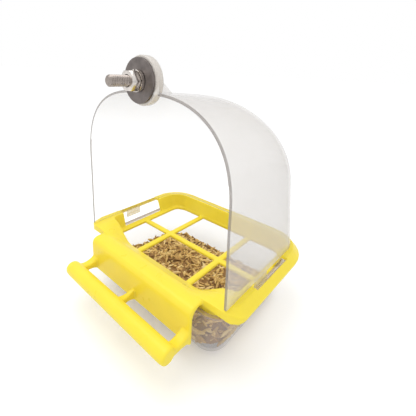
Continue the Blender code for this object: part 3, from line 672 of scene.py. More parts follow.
@dataclass
class Hood:
    """The clear dome with its boss, gussets and snap tabs."""

    datum: Datum
    width: float = 0.1280
    depth: float = HOOD_DEPTH
    height: float = 0.1061
    wall: float = 0.0015
    spring_height: float = 0.0481
    spring_limit: float = 0.8
    leg_share: float = 0.26
    core: Pair = (0.4, 0.4)
    draft: float = 0.038
    corner_radius: float = 0.0165
    top_radius: float = 0.0250
    roof_fall: float = 0.0046
    back_lean: float = 0.26
    exponent_front: float = 2.7
    exponent_back: float = 2.35
    arch_steps: int = 128
    depth_steps: int = 22
    round_steps: int = 22
    cap_steps: int = 14
    weld: float = 0.000001
    rim_rounding: float = 0.00035
    tab_start: float = 0.0310
    tab_length: float = 0.0140
    tab_inset: float = 0.00015
    tab_rounding: float = 0.00045
    barb_reach: float = 0.0012
    barb_root: float = 0.0004
    barb_margin: float = 0.0010
    barb_height: float = 0.0022
    barb_rounding: float = 0.0009
    boss_radius: float = 0.0132
    boss_proud: float = 0.0022
    boss_depth: float = 0.0048
    boss_rounding: float = 0.0008
    bore_radius: float = 0.0033
    bore_length: float = 0.0300
    rib_start: float = 0.00637
    rib_thickness: float = 0.0027
    rib_length: float = 0.0105
    rib_rise: float = 0.0042
    rib_sink: float = 0.6
    rib_knee: Pair = (0.55, 0.80)
    rib_toe: float = 0.0003
    rib_rounding: float = 0.0003

    def arch_point(self, turn: float, half_width: float, top: float, exponent: float) -> Pair:
        """Finds a point of an arch.

        Args:
            turn: From -1 at the left foot over 0 at the top to 1 at the right foot.
            half_width: Half the arch's width at its feet.
            top: Its height.
            exponent: How square it is.

        Returns:
            The point's x and z.
        """
        spring = min(self.spring_height, top * self.spring_limit)
        side = 1.0 if turn >= 0.0 else -1.0
        along = abs(turn)
        if along > 1.0 - self.leg_share:
            z = spring * (1.0 - along) / self.leg_share
            return side * (half_width - self.draft * z), z
        angle = QUARTER_TURN * (1.0 - along / (1.0 - self.leg_share))
        power = 2.0 / exponent
        shoulder = half_width - self.draft * spring
        x = shoulder * max(math.cos(angle), 0.0) ** power
        return side * x, spring + (top - spring) * max(math.sin(angle), 0.0) ** power

    def station(self, share: float) -> tuple[float, float, float, float]:
        """Finds the arch at a place between the open front and the back wall.

        Args:
            share: From 0 at the front to 1 at the back wall.

        Returns:
            The arch's y, half width, top and exponent.
        """
        straight = self.depth - self.top_radius
        straight_share = self.depth_steps / (self.depth_steps + self.round_steps)
        if share <= straight_share:
            y = straight * share / straight_share
        else:
            angle = QUARTER_TURN * (share - straight_share) / (1.0 - straight_share)
            y = straight + self.top_radius * math.sin(angle)
        into_corner = max(y - (self.depth - self.corner_radius), 0.0)
        into_top = max(y - straight, 0.0)
        narrowing = self.corner_radius - math.sqrt(max(self.corner_radius ** 2 - into_corner ** 2, 0.0))
        lowering = self.top_radius - math.sqrt(max(self.top_radius ** 2 - into_top ** 2, 0.0))
        back = y / self.depth
        top = self.height - self.roof_fall * back - lowering
        return y, self.width / 2.0 - narrowing, top, blend(self.exponent_front, self.exponent_back, back)

    def shell(self) -> Piece:
        """Bends a grid into the dome, closes its back and gives it its wall.

        Returns:
            The dome's shell.
        """
        dome_rows = self.depth_steps + self.round_steps
        rows = dome_rows + self.cap_steps
        Bench.clear()
        bpy.ops.mesh.primitive_grid_add(x_subdivisions=self.arch_steps, y_subdivisions=rows, size=2.0)
        shell = Bench.name("hood")
        for vertex in shell.data.vertices:
            row = round((vertex.co.y + 1.0) / 2.0 * rows)
            inward = max(row - dome_rows, 0) / self.cap_steps
            y, half_width, top, exponent = self.station(min(row / dome_rows, 1.0))
            x, z = self.arch_point(vertex.co.x, half_width, top, exponent)
            x, z = x * (1.0 - inward), z * (1.0 - inward)
            vertex.co = self.datum.place(x, y - self.back_lean * z * y / self.depth, z)
        with Bench.editing(shell):
            bpy.ops.mesh.remove_doubles(threshold=self.weld)
            bpy.ops.mesh.normals_make_consistent(inside=False)
        return Bench.modify(shell, "SOLIDIFY", thickness=self.wall, offset=-1.0, use_even_offset=True)

    def round_rim(self, shell: Piece) -> None:
        """Rounds the two edges of the open front's rim."""
        with Bench.editing(shell, "EDGE", sharp_in_plane(1, self.datum.front_y)):
            bpy.ops.mesh.bevel(offset=self.rim_rounding, segments=2)

    def tab(self, side: int) -> Piece:
        """Makes the snap tab under one side wall.

        Args:
            side: -1 for the left, 1 for the right.

        Returns:
            The tab, ready to be united with the shell.
        """
        outer = self.width / 2.0 - self.tab_inset
        inner = self.width / 2.0 - self.wall + self.tab_inset
        end = self.tab_start + self.tab_length
        foot = -self.datum.tab_drop
        tab = self.datum.block(
            "tab", (side * inner, side * outer), (self.tab_start, end), (foot, self.wall)
        )
        barb = self.datum.block(
            "barb", (side * (outer - self.barb_root), side * (outer + self.barb_reach)),
            (self.tab_start + self.barb_margin, end - self.barb_margin), (foot, foot + self.barb_height),
        )
        Bench.round_edges(barb, self.barb_rounding)
        return Bench.unite(Bench.round_edges(tab, self.tab_rounding), [barb])

    def boss(self) -> Piece:
        """Makes the clamp's round boss with its rounded rim."""
        middle = self.datum.place(0.0, self.boss_depth / 2.0 - self.boss_proud, 0.0)
        centre = (0.0, middle.y, self.datum.bolt_z)
        disc = Bench.cylinder("boss", self.boss_radius, self.boss_depth, centre, ROUND_SIDES)
        return Bench.round_edges(disc, self.boss_rounding, 4)

    def rib(self, side: int) -> Piece:
        """Makes one gusset between the boss and the roof.

        Args:
            side: -1 for the left, 1 for the right.

        Returns:
            The gusset, ready to be united with the shell.
        """
        bolt_height = self.datum.bolt_z - self.datum.edge_z
        front = self.boss_depth / 2.0 - self.boss_proud
        back = self.boss_depth - self.boss_proud + self.rib_length
        roof = self.height - self.wall * self.rib_sink - self.roof_fall * back / self.depth
        near, far = sorted((side * self.rib_start, side * (self.rib_start + self.rib_thickness)))
        low = self.datum.place(near, front, roof)
        high = self.datum.place(far, back, bolt_height + self.rib_rise)
        rib = Bench.block("rib", low, high)
        middle = low.lerp(high, 0.5)
        with Bench.editing(rib):
            bpy.ops.mesh.bisect(plane_co=middle, plane_no=(0.0, 1.0, 0.0), use_fill=False)
        knee_along, knee_up = self.rib_knee
        for vertex in rib.data.vertices:
            if vertex.co.z > middle.z:
                if vertex.co.y > high.y - NEAR:
                    vertex.co.z = low.z + self.rib_toe
                elif vertex.co.y > low.y + NEAR:
                    vertex.co.y = blend(low.y, high.y, knee_along)
                    vertex.co.z = blend(low.z, self.datum.bolt_z, knee_up)
        return Bench.round_edges(rib, self.rib_rounding, 2)

    def build(self) -> None:
        """Builds the hood and gives its walls, rim, boss, tabs and inside their finishes: painted shade
        on rim and inside, painted tray yellow on tabs.
        """
        hood = self.shell()
        self.round_rim(hood)
        ribs = [self.rib(side) for side in SIDES]
        Bench.unite(hood, [self.boss(), *ribs, *(self.tab(side) for side in SIDES)])
        middle = (0.0, self.datum.front_y, self.datum.bolt_z)
        bore = Bench.cylinder("bore", self.bore_radius, self.bore_length, middle, ROUND_SIDES // 2)
        Bench.unite(hood, [bore], "DIFFERENCE")
        Bench.smooth(hood, CREASE_DEGREES)
        Bench.dress(hood, HOOD_CLEAR, HOOD_RIM_SHADE, BOSS_CLEAR, TAB_CLEAR_TRAY_YELLOW, HOOD_INSIDE_SHADE)
        _, rim, boss, tab, inside = range(5)
        middle = self.datum.place(0.0, self.depth * self.core[0], self.height * self.core[1])
        boss_back = self.datum.front_y + self.boss_depth - self.boss_proud + NEAR
        # The rim and the inward faces get painted shade, and the tabs a painted tray yellow.
        for face in hood.data.polygons:
            centre = face.center
            reach = math.hypot(centre.x, centre.z - self.datum.bolt_z)
            at_front = abs(centre.y - self.datum.front_y) < self.rim_rounding
            if reach < self.boss_radius + NEAR and centre.y < boss_back:
                face.material_index = boss
            elif at_front and face.normal.y < -0.3:
                face.material_index = rim
            elif centre.z < self.datum.edge_z - NEAR:
                face.material_index = tab
            elif face.normal.dot(middle - centre) > 0.0:
                face.material_index = inside
        Bench.finish(hood, Body.HOOD, Slot.HOOD, "hood")


@dataclass
class Tray:
    """The yellow moulding: basin, grille, rabbet, flange, hook, apron and perch."""

    datum: Datum
    voxel: float = 0.0007
    passes: int = 3
    perch_axis: Pair = (-0.0269, -0.0192)
    perch_radius: float = 0.0059
    perch_straight: float = 0.0441
    perch_core: float = 0.0005
    slim_axis: Pair = (-0.0262, -0.0195)
    slim_radius: float = 0.0052
    slim_half_length: float = 0.0498
    slim_rounding: float = 0.0018
    hook_crest: Pair = (-0.0030, -0.0023)
    hook_round: Pair = (0.0076, 0.0082)
    hook_band: Pair = (0.90, 1.02)
    hook_squareness: float = 3.6
    bar_offset: float = 0.0253
    cross_bar_y: float = 0.0470
    bar_half_width: float = 0.00165
    bar_widening: float = 1.42
    bar_top: float = -0.0124
    bar_reach: float = 0.0620
    bar_span: Pair = (0.0010, 0.0915)
    skin: float = 0.00005
    slot_start: float = 0.0260
    slot_length: float = 0.0400
    slot_heights: Pair = (-0.0120, 0.0020)
    slot_inner: float = 0.0620
    slot_outer: float = 0.0677
    corner_place: Pair = (0.0720, -0.0005)
    corner_radius: float = 0.0112
    corner_margin: float = 0.0010
    corner_heights: Pair = (-0.0200, 0.0100)
    corner_tool_depth: float = 0.0500

    def slim_perch(self, point: Vector) -> Vector:
        """Moves a point of the perch's skin onto the slimmer bar with square ends.

        Args:
            point: A point in the hood's own frame.

        Returns:
            The moved point, or the same point where it isn't on the perch.
        """
        away = Vector((point.y - self.perch_axis[0], point.z - self.perch_axis[1]))
        if not self.perch_core <= away.length <= self.perch_radius + self.skin:
            return point
        beyond = max(abs(point.x) - self.perch_straight, 0.0) / self.perch_radius
        turn = math.asin(min(beyond, 1.0))
        x, radius = point.x, self.slim_radius
        if beyond > 0.0:
            reach = self.slim_half_length - self.slim_rounding + self.slim_rounding * math.sin(turn)
            share = min(turn / (QUARTER_TURN * 0.5), 1.0)
            x = math.copysign(blend(abs(point.x), reach, share), point.x)
            radius -= self.slim_rounding * (1.0 - math.cos(turn))
        away = away.normalized() * radius
        return Vector((x, self.slim_axis[0] + away.x, self.slim_axis[1] + away.y))

    def square_hook(self, point: Vector) -> Vector:
        """Moves a point of the hook's outer curve out towards a crisper edge.

        Args:
            point: A point in the hood's own frame.

        Returns:
            The moved point, or the same point where it isn't on that curve.
        """
        crest_y, crest_z = self.hook_crest
        reach, rise = self.hook_round
        out = (crest_y - point.y) / reach
        up = (point.z - crest_z + rise) / rise
        nearest, farthest = self.hook_band
        if min(out, up) < 0.0 or not nearest < math.hypot(out, up) < farthest:
            return point
        power = self.hook_squareness
        scale = math.hypot(out, up) / (out ** power + up ** power) ** (1.0 / power)
        return Vector((point.x, crest_y - out * scale * reach, crest_z - rise + up * scale * rise))

    def widen_bars(self, point: Vector) -> Vector:
        """Moves a point of the grille's bars away from its bar's middle.

        Args:
            point: A point in the hood's own frame.

        Returns:
            The moved point, or the same point where it isn't on a bar.
        """
        front, back = self.bar_span
        if point.z > self.bar_top or not front <= point.y <= back or abs(point.x) > self.bar_reach:
            return point
        limit = self.bar_half_width + self.skin
        moved = point.copy()
        middle = math.copysign(self.bar_offset, point.x)
        if abs(point.x - middle) < limit:
            moved.x = middle + (point.x - middle) * self.bar_widening
        if abs(point.y - self.cross_bar_y) < limit:
            moved.y = self.cross_bar_y + (point.y - self.cross_bar_y) * self.bar_widening
        return moved

    def notch(self, side: int) -> Piece:
        """Makes the block that widens a tab slot outwards."""
        across = (side * self.slot_inner, side * self.slot_outer)
        along = (self.slot_start, self.slot_start + self.slot_length)
        return self.datum.block("notch", across, along, self.slot_heights)

    def corner(self, side: int) -> Piece:
        """Makes the tool that rounds the flange's front corner on one side.

        Args:
            side: -1 for the left, 1 for the right.

        Returns:
            A block less a quarter cylinder.
        """
        x, y = self.corner_place
        middle_x, back = side * (x - self.corner_radius), y + self.corner_radius
        across = (middle_x, side * (x + self.corner_margin))
        tool = self.datum.block("corner", across, (y - self.corner_margin, back), self.corner_heights)
        centre = self.datum.place(middle_x, back, sum(self.corner_heights) / 2.0)
        cylinder = Bench.cylinder(
            "corner_round", self.corner_radius, self.corner_tool_depth, centre, ROUND_SIDES, upright=True
        )
        return Bench.unite(tool, [cylinder], "DIFFERENCE")

    def build(self) -> None:
        """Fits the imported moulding's form to the real one and gives it soft moulded edges."""
        tray = Bench.copy_node("feeder_tray", "tray_moulding")
        origin = self.datum.place(0.0, 0.0, 0.0)
        for vertex in tray.data.vertices:
            vertex.co = self.widen_bars(self.square_hook(self.slim_perch(vertex.co - origin))) + origin
        cuts = [make(side) for make in (self.notch, self.corner) for side in SIDES]
        Bench.unite(tray, cuts, "DIFFERENCE")
        tray.data.remesh_voxel_size = self.voxel
        tray.data.remesh_voxel_adaptivity = 0.0
        Bench.take(tray)
        bpy.ops.object.voxel_remesh()
        Bench.modify(tray, "SMOOTH", factor=0.5, iterations=self.passes)
        Bench.smooth(tray, 180.0)
        tray.data.materials.clear()
        Bench.dress(tray, YELLOW)
        Bench.finish(tray, Body.TRAY, Slot.TRAY, "feeder_tray")


@dataclass
class Clamp:
    """Bolt, washers and nut."""

    datum: Datum
    shank_radius: float = 0.0030
    head_thickness: float = 0.0040
    head_across_flats: float = 0.0100
    head_overlap: float = 0.0010
    head_rounding: float = 0.00025
    pitch: float = 0.0010
    thread_depth: float = 0.00045
    thread_sharpness: float = 1.4
    tip_chamfer: float = 0.0009
    tip_slope: float = 1.2
    rings_a_turn: int = 6
    sides: int = 48
    crease: float = 32.0

    def shank(self, front: float, length: float) -> Piece:
        """Draws out the bolt's shank and cuts its thread and its chamfered tip.

        Args:
            front: Where the tip is, along Y.
            length: The shank's length.

        Returns:
            The shank, ready to be united with the head.
        """
        axis_z = self.datum.bolt_z
        rings = round(length / self.pitch * self.rings_a_turn)
        Bench.clear()
        bpy.ops.mesh.primitive_circle_add(
            vertices=self.sides, radius=self.shank_radius, fill_type="NGON",
            location=(0.0, front, axis_z), rotation=(QUARTER_TURN, 0.0, 0.0),
        )
        shank = Bench.seat(Bench.name("shank"))
        with Bench.editing(shank):
            for _ in range(rings):
                bpy.ops.mesh.extrude_region_move(
                    TRANSFORM_OT_translate={"value": (0.0, length / rings, 0.0)}
                )
            bpy.ops.mesh.select_all(action="SELECT")
            bpy.ops.mesh.normals_make_consistent(inside=False)
        tip_radius = self.shank_radius - self.tip_chamfer
        for vertex in shank.data.vertices:
            along = vertex.co.y - front
            angle = math.atan2(vertex.co.z - axis_z, vertex.co.x)
            turn = (along / self.pitch + angle / math.tau) % 1.0
            groove = self.thread_depth * abs(2.0 * turn - 1.0) ** self.thread_sharpness
            reach = min(self.shank_radius - groove, tip_radius + along * self.tip_slope)
            vertex.co.x = reach * math.cos(angle)
            vertex.co.z = axis_z + reach * math.sin(angle)
        return shank

    def bolt(self) -> None:
        """Sets the hexagon head on the end of the threaded shank."""
        low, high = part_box("clamp_bolt")
        head_front = high.y - self.head_thickness
        shank = self.shank(low.y, head_front + self.head_overlap - low.y)
        middle = (0.0, head_front + self.head_thickness / 2.0, self.datum.bolt_z)
        corner_radius = self.head_across_flats / math.sqrt(3.0)
        head = Bench.cylinder("clamp_bolt_zinc", corner_radius, self.head_thickness, middle, 6)
        with Bench.editing(head):
            bpy.ops.transform.rotate(value=math.radians(30.0), orient_axis="Y", center_override=middle)
        Bench.round_edges(head, self.head_rounding, 2)
        Bench.unite(head, [shank])
        Bench.smooth(head, self.crease)
        Bench.dress(head, BOLT_ZINC)
        Bench.finish(head, Body.HOOD, Slot.BRIGHT, "clamp_bolt")

    def build(self) -> None:
        """Builds the bolt, both washers and the nut."""
        self.bolt()
        for node, body, slot, finish in (
            ("fender_washer", Body.WASHERS, Slot.DARK, DARK_ZINC),
            ("spring_washer", Body.WASHERS, Slot.BRIGHT, BRIGHT_ZINC),
            ("hex_nut", Body.NUT, Slot.BRIGHT, BRIGHT_ZINC),
        ):
            piece = Bench.copy_node(node, node + "_zinc")
            Bench.smooth(piece, self.crease)
            Bench.dress(piece, finish)
            Bench.finish(piece, body, slot, node)


@dataclass
class CupShape:
    """Sizes of the seed cup, in the hood's own frame."""

    half_width: float = 0.0617
    depth: float = HOOD_DEPTH
    rim_z: float = -0.0108
    bottom_z: float = -0.0465
    wall: float = 0.0015
    side_taper: float = 0.0055
    front_taper: float = 0.0035
    corner_radius: float = 0.0120
    corner_segments: int = 12
    foot_radius: float = 0.0065
    foot_segments: int = 8
    bead: float = 0.0009
    bead_height: float = 0.0016
    rim_rounding: float = 0.0003


@dataclass
class SeedCup:
    """The clear cup under the tray."""

    datum: Datum
    shape: CupShape

    def body(self) -> Piece:
        """Tapers a block and rounds its corners and its foot.

        Returns:
            The cup's outer form, closed at the top.
        """
        shape = self.shape
        low = self.datum.place(-shape.half_width, 0.0, shape.bottom_z)
        high = self.datum.place(shape.half_width, shape.depth, shape.rim_z)
        middle = low.lerp(high, 0.5)
        cup = Bench.block("cup", low, high)
        for vertex in cup.data.vertices:
            if vertex.co.z < middle.z:
                vertex.co.x -= math.copysign(shape.side_taper, vertex.co.x)
                vertex.co.y += shape.front_taper if vertex.co.y < middle.y else -shape.side_taper

        def upright(edge: bmesh.types.BMEdge) -> bool:
            """Says whether an edge runs from the foot to the top."""
            return abs(edge.verts[0].co.z - edge.verts[1].co.z) > shape.foot_radius

        with Bench.editing(cup, "EDGE", upright):
            bpy.ops.mesh.bevel(offset=shape.corner_radius, segments=shape.corner_segments, profile=0.5)
        with Bench.editing(cup, "EDGE", sharp_in_plane(2, low.z)):
            bpy.ops.mesh.bevel(offset=shape.foot_radius, segments=shape.foot_segments, profile=0.5)
        return cup

    def build(self) -> None:
        """Opens the cup, gives it its wall and the bead round its rim, and dresses it, with painted
        shade on the rim and the inside.
        """
        shape = self.shape
        cup = self.body()
        middle = self.datum.place(0.0, shape.depth / 2.0, shape.rim_z)
        bead_z = middle.z - shape.bead_height

        def on_bead(face: bmesh.types.BMFace) -> bool:
            """Says whether a face lies outside, between the bead's lower edge and the rim."""
            centre = face.calc_center_median()
            outward = face.normal.x * centre.x + face.normal.y * (centre.y - middle.y)
            return bead_z < centre.z < middle.z - NEAR and outward > 0.0

        with Bench.editing(cup):
            bpy.ops.mesh.bisect(plane_co=(0.0, 0.0, bead_z), plane_no=(0.0, 0.0, 1.0), use_fill=False)
        with Bench.editing(cup, "FACE", lambda face: face.normal.z > 0.9):
            bpy.ops.mesh.delete(type="FACE")
        Bench.modify(cup, "SOLIDIFY", thickness=shape.wall, offset=-1.0, use_even_offset=True)
        with Bench.editing(cup, "FACE", on_bead):
            bpy.ops.mesh.extrude_region_shrink_fatten(TRANSFORM_OT_shrink_fatten={"value": shape.bead})
        Bench.round_edges(cup, shape.rim_rounding, 2, 60.0)
        Bench.smooth(cup, CREASE_DEGREES)
        Bench.dress(cup, CUP_CLEAR, CUP_RIM_SHADE, CUP_INSIDE_SHADE)
        wall, rim, inside = range(3)
        # The rim and the inward faces take painted shade.
        for face in cup.data.polygons:
            facing_in = face.normal.dot(middle - face.center) > 0.0
            at_rim = face.center.z > bead_z - NEAR
            face.material_index = rim if at_rim else inside if facing_in else wall
        Bench.finish(cup, Body.CUP, Slot.CUP, "seed_cup")


class Kind(Enum):
    """The grains of the mix."""

    OAT = "oat_husks"
    BROWN = "brown_seeds"
    MILLET = "millet"


@dataclass(frozen=True)
class Grain:
    """One kind of grain: its size, how many there are and how light it is."""

    kind: Kind
    length: float
    width: float
    thickness: float
    on_top: int
    at_walls: int
    tone: Pair

    TIP_TAPER = 0.35

    def model(self) -> Piece:
        """Shapes one grain, a spindle that is fuller behind its middle.

        Returns:
            The grain, centred on the origin with its length along X.
        """
        Bench.clear()
        bpy.ops.mesh.primitive_uv_sphere_add(
            segments=6, ring_count=6, radius=0.5, rotation=(0.0, QUARTER_TURN, 0.0)
        )
        grain = Bench.seat(Bench.name(self.kind.value))
        for vertex in grain.data.vertices:
            full = 1.0 - self.TIP_TAPER * max(vertex.co.x, 0.0)
            vertex.co.x *= self.length
            vertex.co.y *= self.width * full
            vertex.co.z *= self.thickness * full
        return grain


@dataclass
class Seed:
    """The loose mix in the cup: a bed darkened with painted shade, with grains lying on it and along the
    clear walls.
    """

    datum: Datum
    shape: CupShape
    depth_front: float = 0.0132
    depth_back: float = 0.0057
    swell: float = 0.0012
    swell_reach: float = 0.0240
    layers: float = 0.0024
    corner_gap: float = 0.0020
    floor_gap: float = 0.0002
    grain_gap: float = 0.0001
    top_roll: float = 0.50
    top_pitch: float = 0.20
    wall_pitch: float = 0.45
    wall_gap: float = 0.55
    wall_shares: tuple[float, float, float, float] = (0.32, 0.20, 0.28, 0.20)
    sizes: Pair = (0.80, 1.12)
    wall_stretch: float = 1.32
    bed_inset: float = 0.0009
    bed_width: float = 0.965
    bed_depth: float = 0.955
    seed_number: int = 7
    grains: tuple[Grain, ...] = (
        Grain(Kind.OAT, 0.0074, 0.0019, 0.0014, 1250, 560, (0.35, 1.00)),
        Grain(Kind.BROWN, 0.0050, 0.0020, 0.0013, 380, 160, (0.05, 0.45)),
        Grain(Kind.MILLET, 0.0024, 0.0018, 0.0017, 420, 160, (0.45, 0.90)),
    )

    def walls(self, z: np.ndarray) -> tuple[np.ndarray, np.ndarray, np.ndarray]:
        """Finds the cup's inner walls.

        Args:
            z: Heights over the cup's floor.

        Returns:
            The inner half width, front and back at those heights.
        """
        shape = self.shape
        height = shape.rim_z - shape.bottom_z
        down = np.clip(1.0 - (z + shape.wall) / height, 0.0, 1.0)
        foot = shape.foot_radius - shape.wall
        pull = foot - np.sqrt(np.maximum(foot ** 2 - np.maximum(foot - z, 0.0) ** 2, 0.0)) + shape.wall
        half = shape.half_width - shape.side_taper * down - pull
        front = shape.front_taper * down + pull
        back = shape.depth - shape.side_taper * down - pull
        return half, front, back

    def level(self, y: np.ndarray) -> np.ndarray:
        """Returns the seed's height over the cup's floor."""
        return self.depth_front + (self.depth_back - self.depth_front) * y / self.shape.depth

    def on_top(self, dice: np.random.Generator, grain: Grain) -> tuple[np.ndarray, np.ndarray]:
        """Strews grains over the surface.

        Args:
            dice: The source of chance.
            grain: The kind of grain.

        Returns:
            Their centres over the cup's floor, and their turns as rows of roll, pitch and yaw.
        """
        count = grain.on_top
        y = dice.uniform(0.0, self.shape.depth, count)
        half, front, back = self.walls(self.level(y))
        margin = grain.length * 0.5
        corner = self.shape.corner_radius - self.shape.wall
        y = front + margin + (back - front - 2.0 * margin) * y / self.shape.depth
        x = dice.uniform(-1.0, 1.0, count) * (half - margin)
        into_x = np.maximum(np.abs(x) - (half - corner), 0.0)
        edge = corner - np.sqrt(np.maximum((corner - self.corner_gap) ** 2 - into_x ** 2, 0.0))
        y = np.clip(y, front + edge, back - edge)
        inward = np.minimum(np.minimum(half - np.abs(x), y - front), back - y)
        z = self.level(y) + self.swell * np.clip(inward / self.swell_reach, 0.0, 1.0)
        z += dice.uniform(-self.layers, 0.6 * grain.thickness, count)
        roll = dice.normal(0.0, self.top_roll, count)
        pitch = dice.normal(0.0, self.top_pitch, count)
        yaw = dice.uniform(0.0, math.tau, count)
        return np.stack([x, y, z], axis=1), np.stack([roll, pitch, yaw], axis=1)

    def at_walls(self, dice: np.random.Generator, grain: Grain) -> tuple[np.ndarray, np.ndarray]:
        """Stands grains against the cup's walls.

        Args:
            dice: The source of chance.
            grain: The kind of grain.

        Returns:
            Their centres over the cup's floor, and their turns as rows of roll, pitch and yaw.
        """
        count, depth = grain.at_walls, self.shape.depth
        side = dice.choice(4, count, p=self.wall_shares)
        at_front, at_right, at_back = (side == number for number in range(3))
        walls = [at_front, at_right, at_back]
        along = dice.uniform(-1.0, 1.0, count)
        pitch = dice.normal(0.0, self.wall_pitch, count)
        low = 0.5 * grain.thickness
        y = np.where(at_front, 0.0, np.where(at_back, depth, depth * (0.5 + 0.5 * along)))
        z = low + (self.level(y) - low) * dice.uniform(0.0, 1.0, count)
        half, front, back = self.walls(np.maximum(z - low, 0.0))
        gap = grain.thickness * self.wall_gap
        corner = self.shape.corner_radius - self.shape.wall
        across = along * (half - corner)
        beside = (front + back) / 2.0 + along * ((back - front) / 2.0 - corner)
        x = np.select(walls, [across, half - gap, across], -half + gap)
        y = np.select(walls, [front + gap, beside, back - gap], beside)
        yaw = np.where(at_front | at_back, 0.0, QUARTER_TURN)
        yaw += np.where(dice.random(count) < 0.5, 0.0, math.pi)
        roll = np.full(count, QUARTER_TURN)
        return np.stack([x, y, z], axis=1), np.stack([roll, pitch, yaw], axis=1)

    @staticmethod
    def turning(turns: np.ndarray) -> np.ndarray:
        """Works out a turning matrix for each grain.

        Args:
            turns: Rows of roll, pitch and yaw, which are done in this order.

        Returns:
            One matrix for each row.
        """
        matrices = np.tile(np.eye(3), (len(turns), 1, 1))
        for axis, angle in enumerate(turns.T):
            first, second = (axis + 1) % 3, (axis + 2) % 3
            step = np.zeros_like(matrices)
            step[:, axis, axis] = 1.0
            step[:, first, first] = step[:, second, second] = np.cos(angle)
            step[:, first, second] = -np.sin(angle)
            step[:, second, first] = np.sin(angle)
            matrices = step @ matrices
        return matrices

    def strew(self, grain: Grain, dice: np.random.Generator, husk: bpy.types.Material) -> None:
        """Copies one grain to all its places in one mesh and gives each copy its shade.

        Args:
            grain: The kind of grain.
            dice: The source of chance.
            husk: The finish.
        """
        model = grain.model()
        count = len(model.data.vertices)
        points = np.empty(count * 3)
        model.data.vertices.foreach_get("co", points)
        points = points.reshape(count, 3)
        faces = [tuple(face.vertices) for face in model.data.polygons]
        top, top_turns = self.on_top(dice, grain)
        wall, wall_turns = self.at_walls(dice, grain)
        bpy.data.objects.remove(model, do_unlink=True)
        centres = np.concatenate([top, wall])
        turn = self.turning(np.concatenate([top_turns, wall_turns]))
        size = dice.uniform(*self.sizes, len(centres))
        size[len(top):] *= self.wall_stretch
        placed = np.einsum("nij,pj->npi", turn, points) * size[:, None, None]
        lowest = placed[:, :, 2].min(axis=1)
        centres[:, 2] = np.maximum(centres[:, 2], self.grain_gap - lowest)
        floor = self.datum.place(0.0, 0.0, self.shape.bottom_z + self.shape.wall + self.floor_gap)
        placed = placed + centres[:, None, :] + np.array(floor)
        starts = range(0, len(centres) * count, count)
        all_faces = [tuple(start + index for index in face) for start in starts for face in faces]
        mesh = bpy.data.meshes.new(grain.kind.value)
        mesh.from_pydata(placed.reshape(-1, 3).tolist(), [], all_faces)
        tone = mesh.attributes.new(SeedCoat.TONE, "FLOAT", "POINT")
        tone.data.foreach_set("value", np.repeat(dice.uniform(*grain.tone, len(centres)), count))
        piece = bpy.data.objects.new(grain.kind.value, mesh)
        bpy.context.scene.collection.objects.link(piece)
        mesh.materials.append(husk)
        Bench.smooth(piece, 60.0)
        Bench.finish(piece, Body.CUP, Slot.SEED)

    def build(self) -> None:
        """Lays the bed and strews every kind of grain."""
        bed = Bench.copy_node("seed_fill", "seed_bed")
        Bench.modify(bed, "DISPLACE", strength=-self.bed_inset, mid_level=0.0)
        middle = self.datum.front_y + self.shape.depth / 2.0
        for vertex in bed.data.vertices:
            vertex.co.x *= self.bed_width
            vertex.co.y = middle + (vertex.co.y - middle) * self.bed_depth
        Bench.smooth(bed, 60.0)
        # The bed's dark brown is painted shade between the grains.
        Bench.dress(bed, SEED_BED_SHADE)
        Bench.finish(bed, Body.CUP, Slot.SEED, "seed_fill")
        dice = np.random.default_rng(self.seed_number)
        husk = HUSK.build()
        for grain in self.grains:
            self.strew(grain, dice, husk)


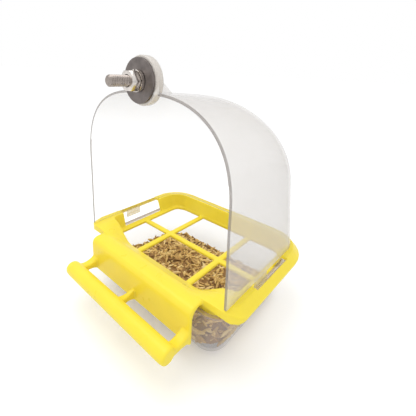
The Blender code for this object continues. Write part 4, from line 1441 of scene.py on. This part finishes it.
@dataclass
class Studio:
    """The floor, the light and the camera."""

    image_side: int = 416
    focal_pixels: float = 286.0
    centre_pixel: Pair = (196.0, 160.0)
    sensor: float = 36.0
    clip: Pair = (0.005, 20.0)
    eye: Point = (0.125786, -0.101873, 0.11758)
    right: Point = (0.7527, 0.6570, 0.0425)
    up: Point = (-0.2258, 0.1969, 0.9541)
    floor_side: float = 30.0
    floor_z: float = -0.0002
    floor_shade: float = 0.86
    floor_glow: float = 0.20
    surround: float = 0.97
    lamp_place: Point = (-0.15, -0.10, 0.75)
    lamp_aim: Point = (0.0, 0.02, 0.05)
    lamp_side: float = 0.60
    lamp_power: float = 2.0

    def camera(self, datum: Datum) -> None:
        """Sets the camera where the photograph was taken from.

        Args:
            datum: The shared places, because the eye is measured from the hood's front.
        """
        data = bpy.data.cameras.new("view")
        camera = bpy.data.objects.new("view", data)
        bpy.context.scene.collection.objects.link(camera)
        data.sensor_width = self.sensor
        data.lens = self.focal_pixels / self.image_side * self.sensor
        middle = self.image_side / 2.0
        data.shift_x = (middle - self.centre_pixel[0]) / self.image_side
        data.shift_y = (self.centre_pixel[1] - middle) / self.image_side
        data.clip_start, data.clip_end = self.clip
        right = Vector(self.right).normalized()
        up = Vector(self.up)
        up = (up - right * up.dot(right)).normalized()
        back = right.cross(up)
        turn = Matrix((right, up, back)).transposed()
        camera.matrix_world = Matrix.Translation(datum.place(*self.eye)) @ turn.to_4x4()
        bpy.context.scene.camera = camera

    def floor(self) -> None:
        """Lays a plain white floor that keeps the feeder's shadow."""
        Bench.clear()
        bpy.ops.mesh.primitive_plane_add(size=self.floor_side, location=(0.0, 0.0, self.floor_z))
        floor = Bench.name("floor")
        material = bpy.data.materials.new("floor_white")
        material.use_nodes = True
        tree = NodeTree(material.node_tree)
        shader = material.node_tree.nodes["Principled BSDF"]
        tree.fill(shader, {
            "Base Color": (self.floor_shade, self.floor_shade, self.floor_shade, 1.0),
            "Roughness": 0.9,
            "Specular IOR Level": 0.0,
            "Emission Color": WHITE,
        })
        seen = self.seen_rays(tree, "Is Transmission Ray")
        tree.join(tree.span(seen, 0.0, self.floor_glow), shader.inputs["Emission Strength"])
        floor.data.materials.append(material)

    @staticmethod
    def seen_rays(tree: NodeTree, *kinds: str) -> Socket:
        """Finds the rays that show the background.

        Args:
            tree: The material's or the world's nodes.
            *kinds: Light Path's outputs that count beside the camera's own rays.

        Returns:
            An output that is 1 for those rays and 0 for all others.
        """
        path = tree.add("ShaderNodeLightPath")
        seen = path.outputs["Is Camera Ray"]
        for kind in kinds:
            either = tree.add("ShaderNodeMath", operation="MAXIMUM")
            tree.join(seen, either.inputs[0])
            tree.join(path.outputs[kind], either.inputs[1])
            seen = either.outputs[0]
        return seen

    def world(self) -> None:
        """Gives an even pale surround, seen as white."""
        world = bpy.data.worlds.new("studio")
        bpy.context.scene.world = world
        world.use_nodes = True
        tree = NodeTree(world.node_tree)
        background = world.node_tree.nodes["Background"]
        tree.fill(background, {"Color": WHITE})
        seen = self.seen_rays(tree, "Is Transmission Ray", "Is Glossy Ray")
        tree.join(tree.span(seen, self.surround, 1.0), background.inputs["Strength"])

    def lamp(self) -> None:
        """Hangs one soft square lamp over the feeder's front left."""
        data = bpy.data.lights.new("top_lamp", "AREA")
        data.size = self.lamp_side
        data.energy = self.lamp_power
        lamp = bpy.data.objects.new("top_lamp", data)
        bpy.context.scene.collection.objects.link(lamp)
        lamp.location = self.lamp_place
        lamp.rotation_mode = "QUATERNION"
        lamp.rotation_quaternion = (Vector(self.lamp_aim) - lamp.location).to_track_quat("-Z", "Y")

    def build(self, datum: Datum) -> None:
        """Sets the whole studio.

        Args:
            datum: The shared places, for the camera.
        """
        self.camera(datum)
        self.floor()
        self.world()
        self.lamp()
        bpy.context.scene.view_settings.view_transform = "Standard"


def main() -> None:
    """Builds the feeder piece by piece, then the studio round it."""
    logging.basicConfig(level=logging.INFO, format="%(name)s %(message)s")
    datum = Datum()
    Tray(datum).build()
    Hood(datum).build()
    shape = CupShape()
    SeedCup(datum, shape).build()
    Seed(datum, shape).build()
    Clamp(datum).build()
    Studio().build(datum)


if __name__ == "__main__":
    main()
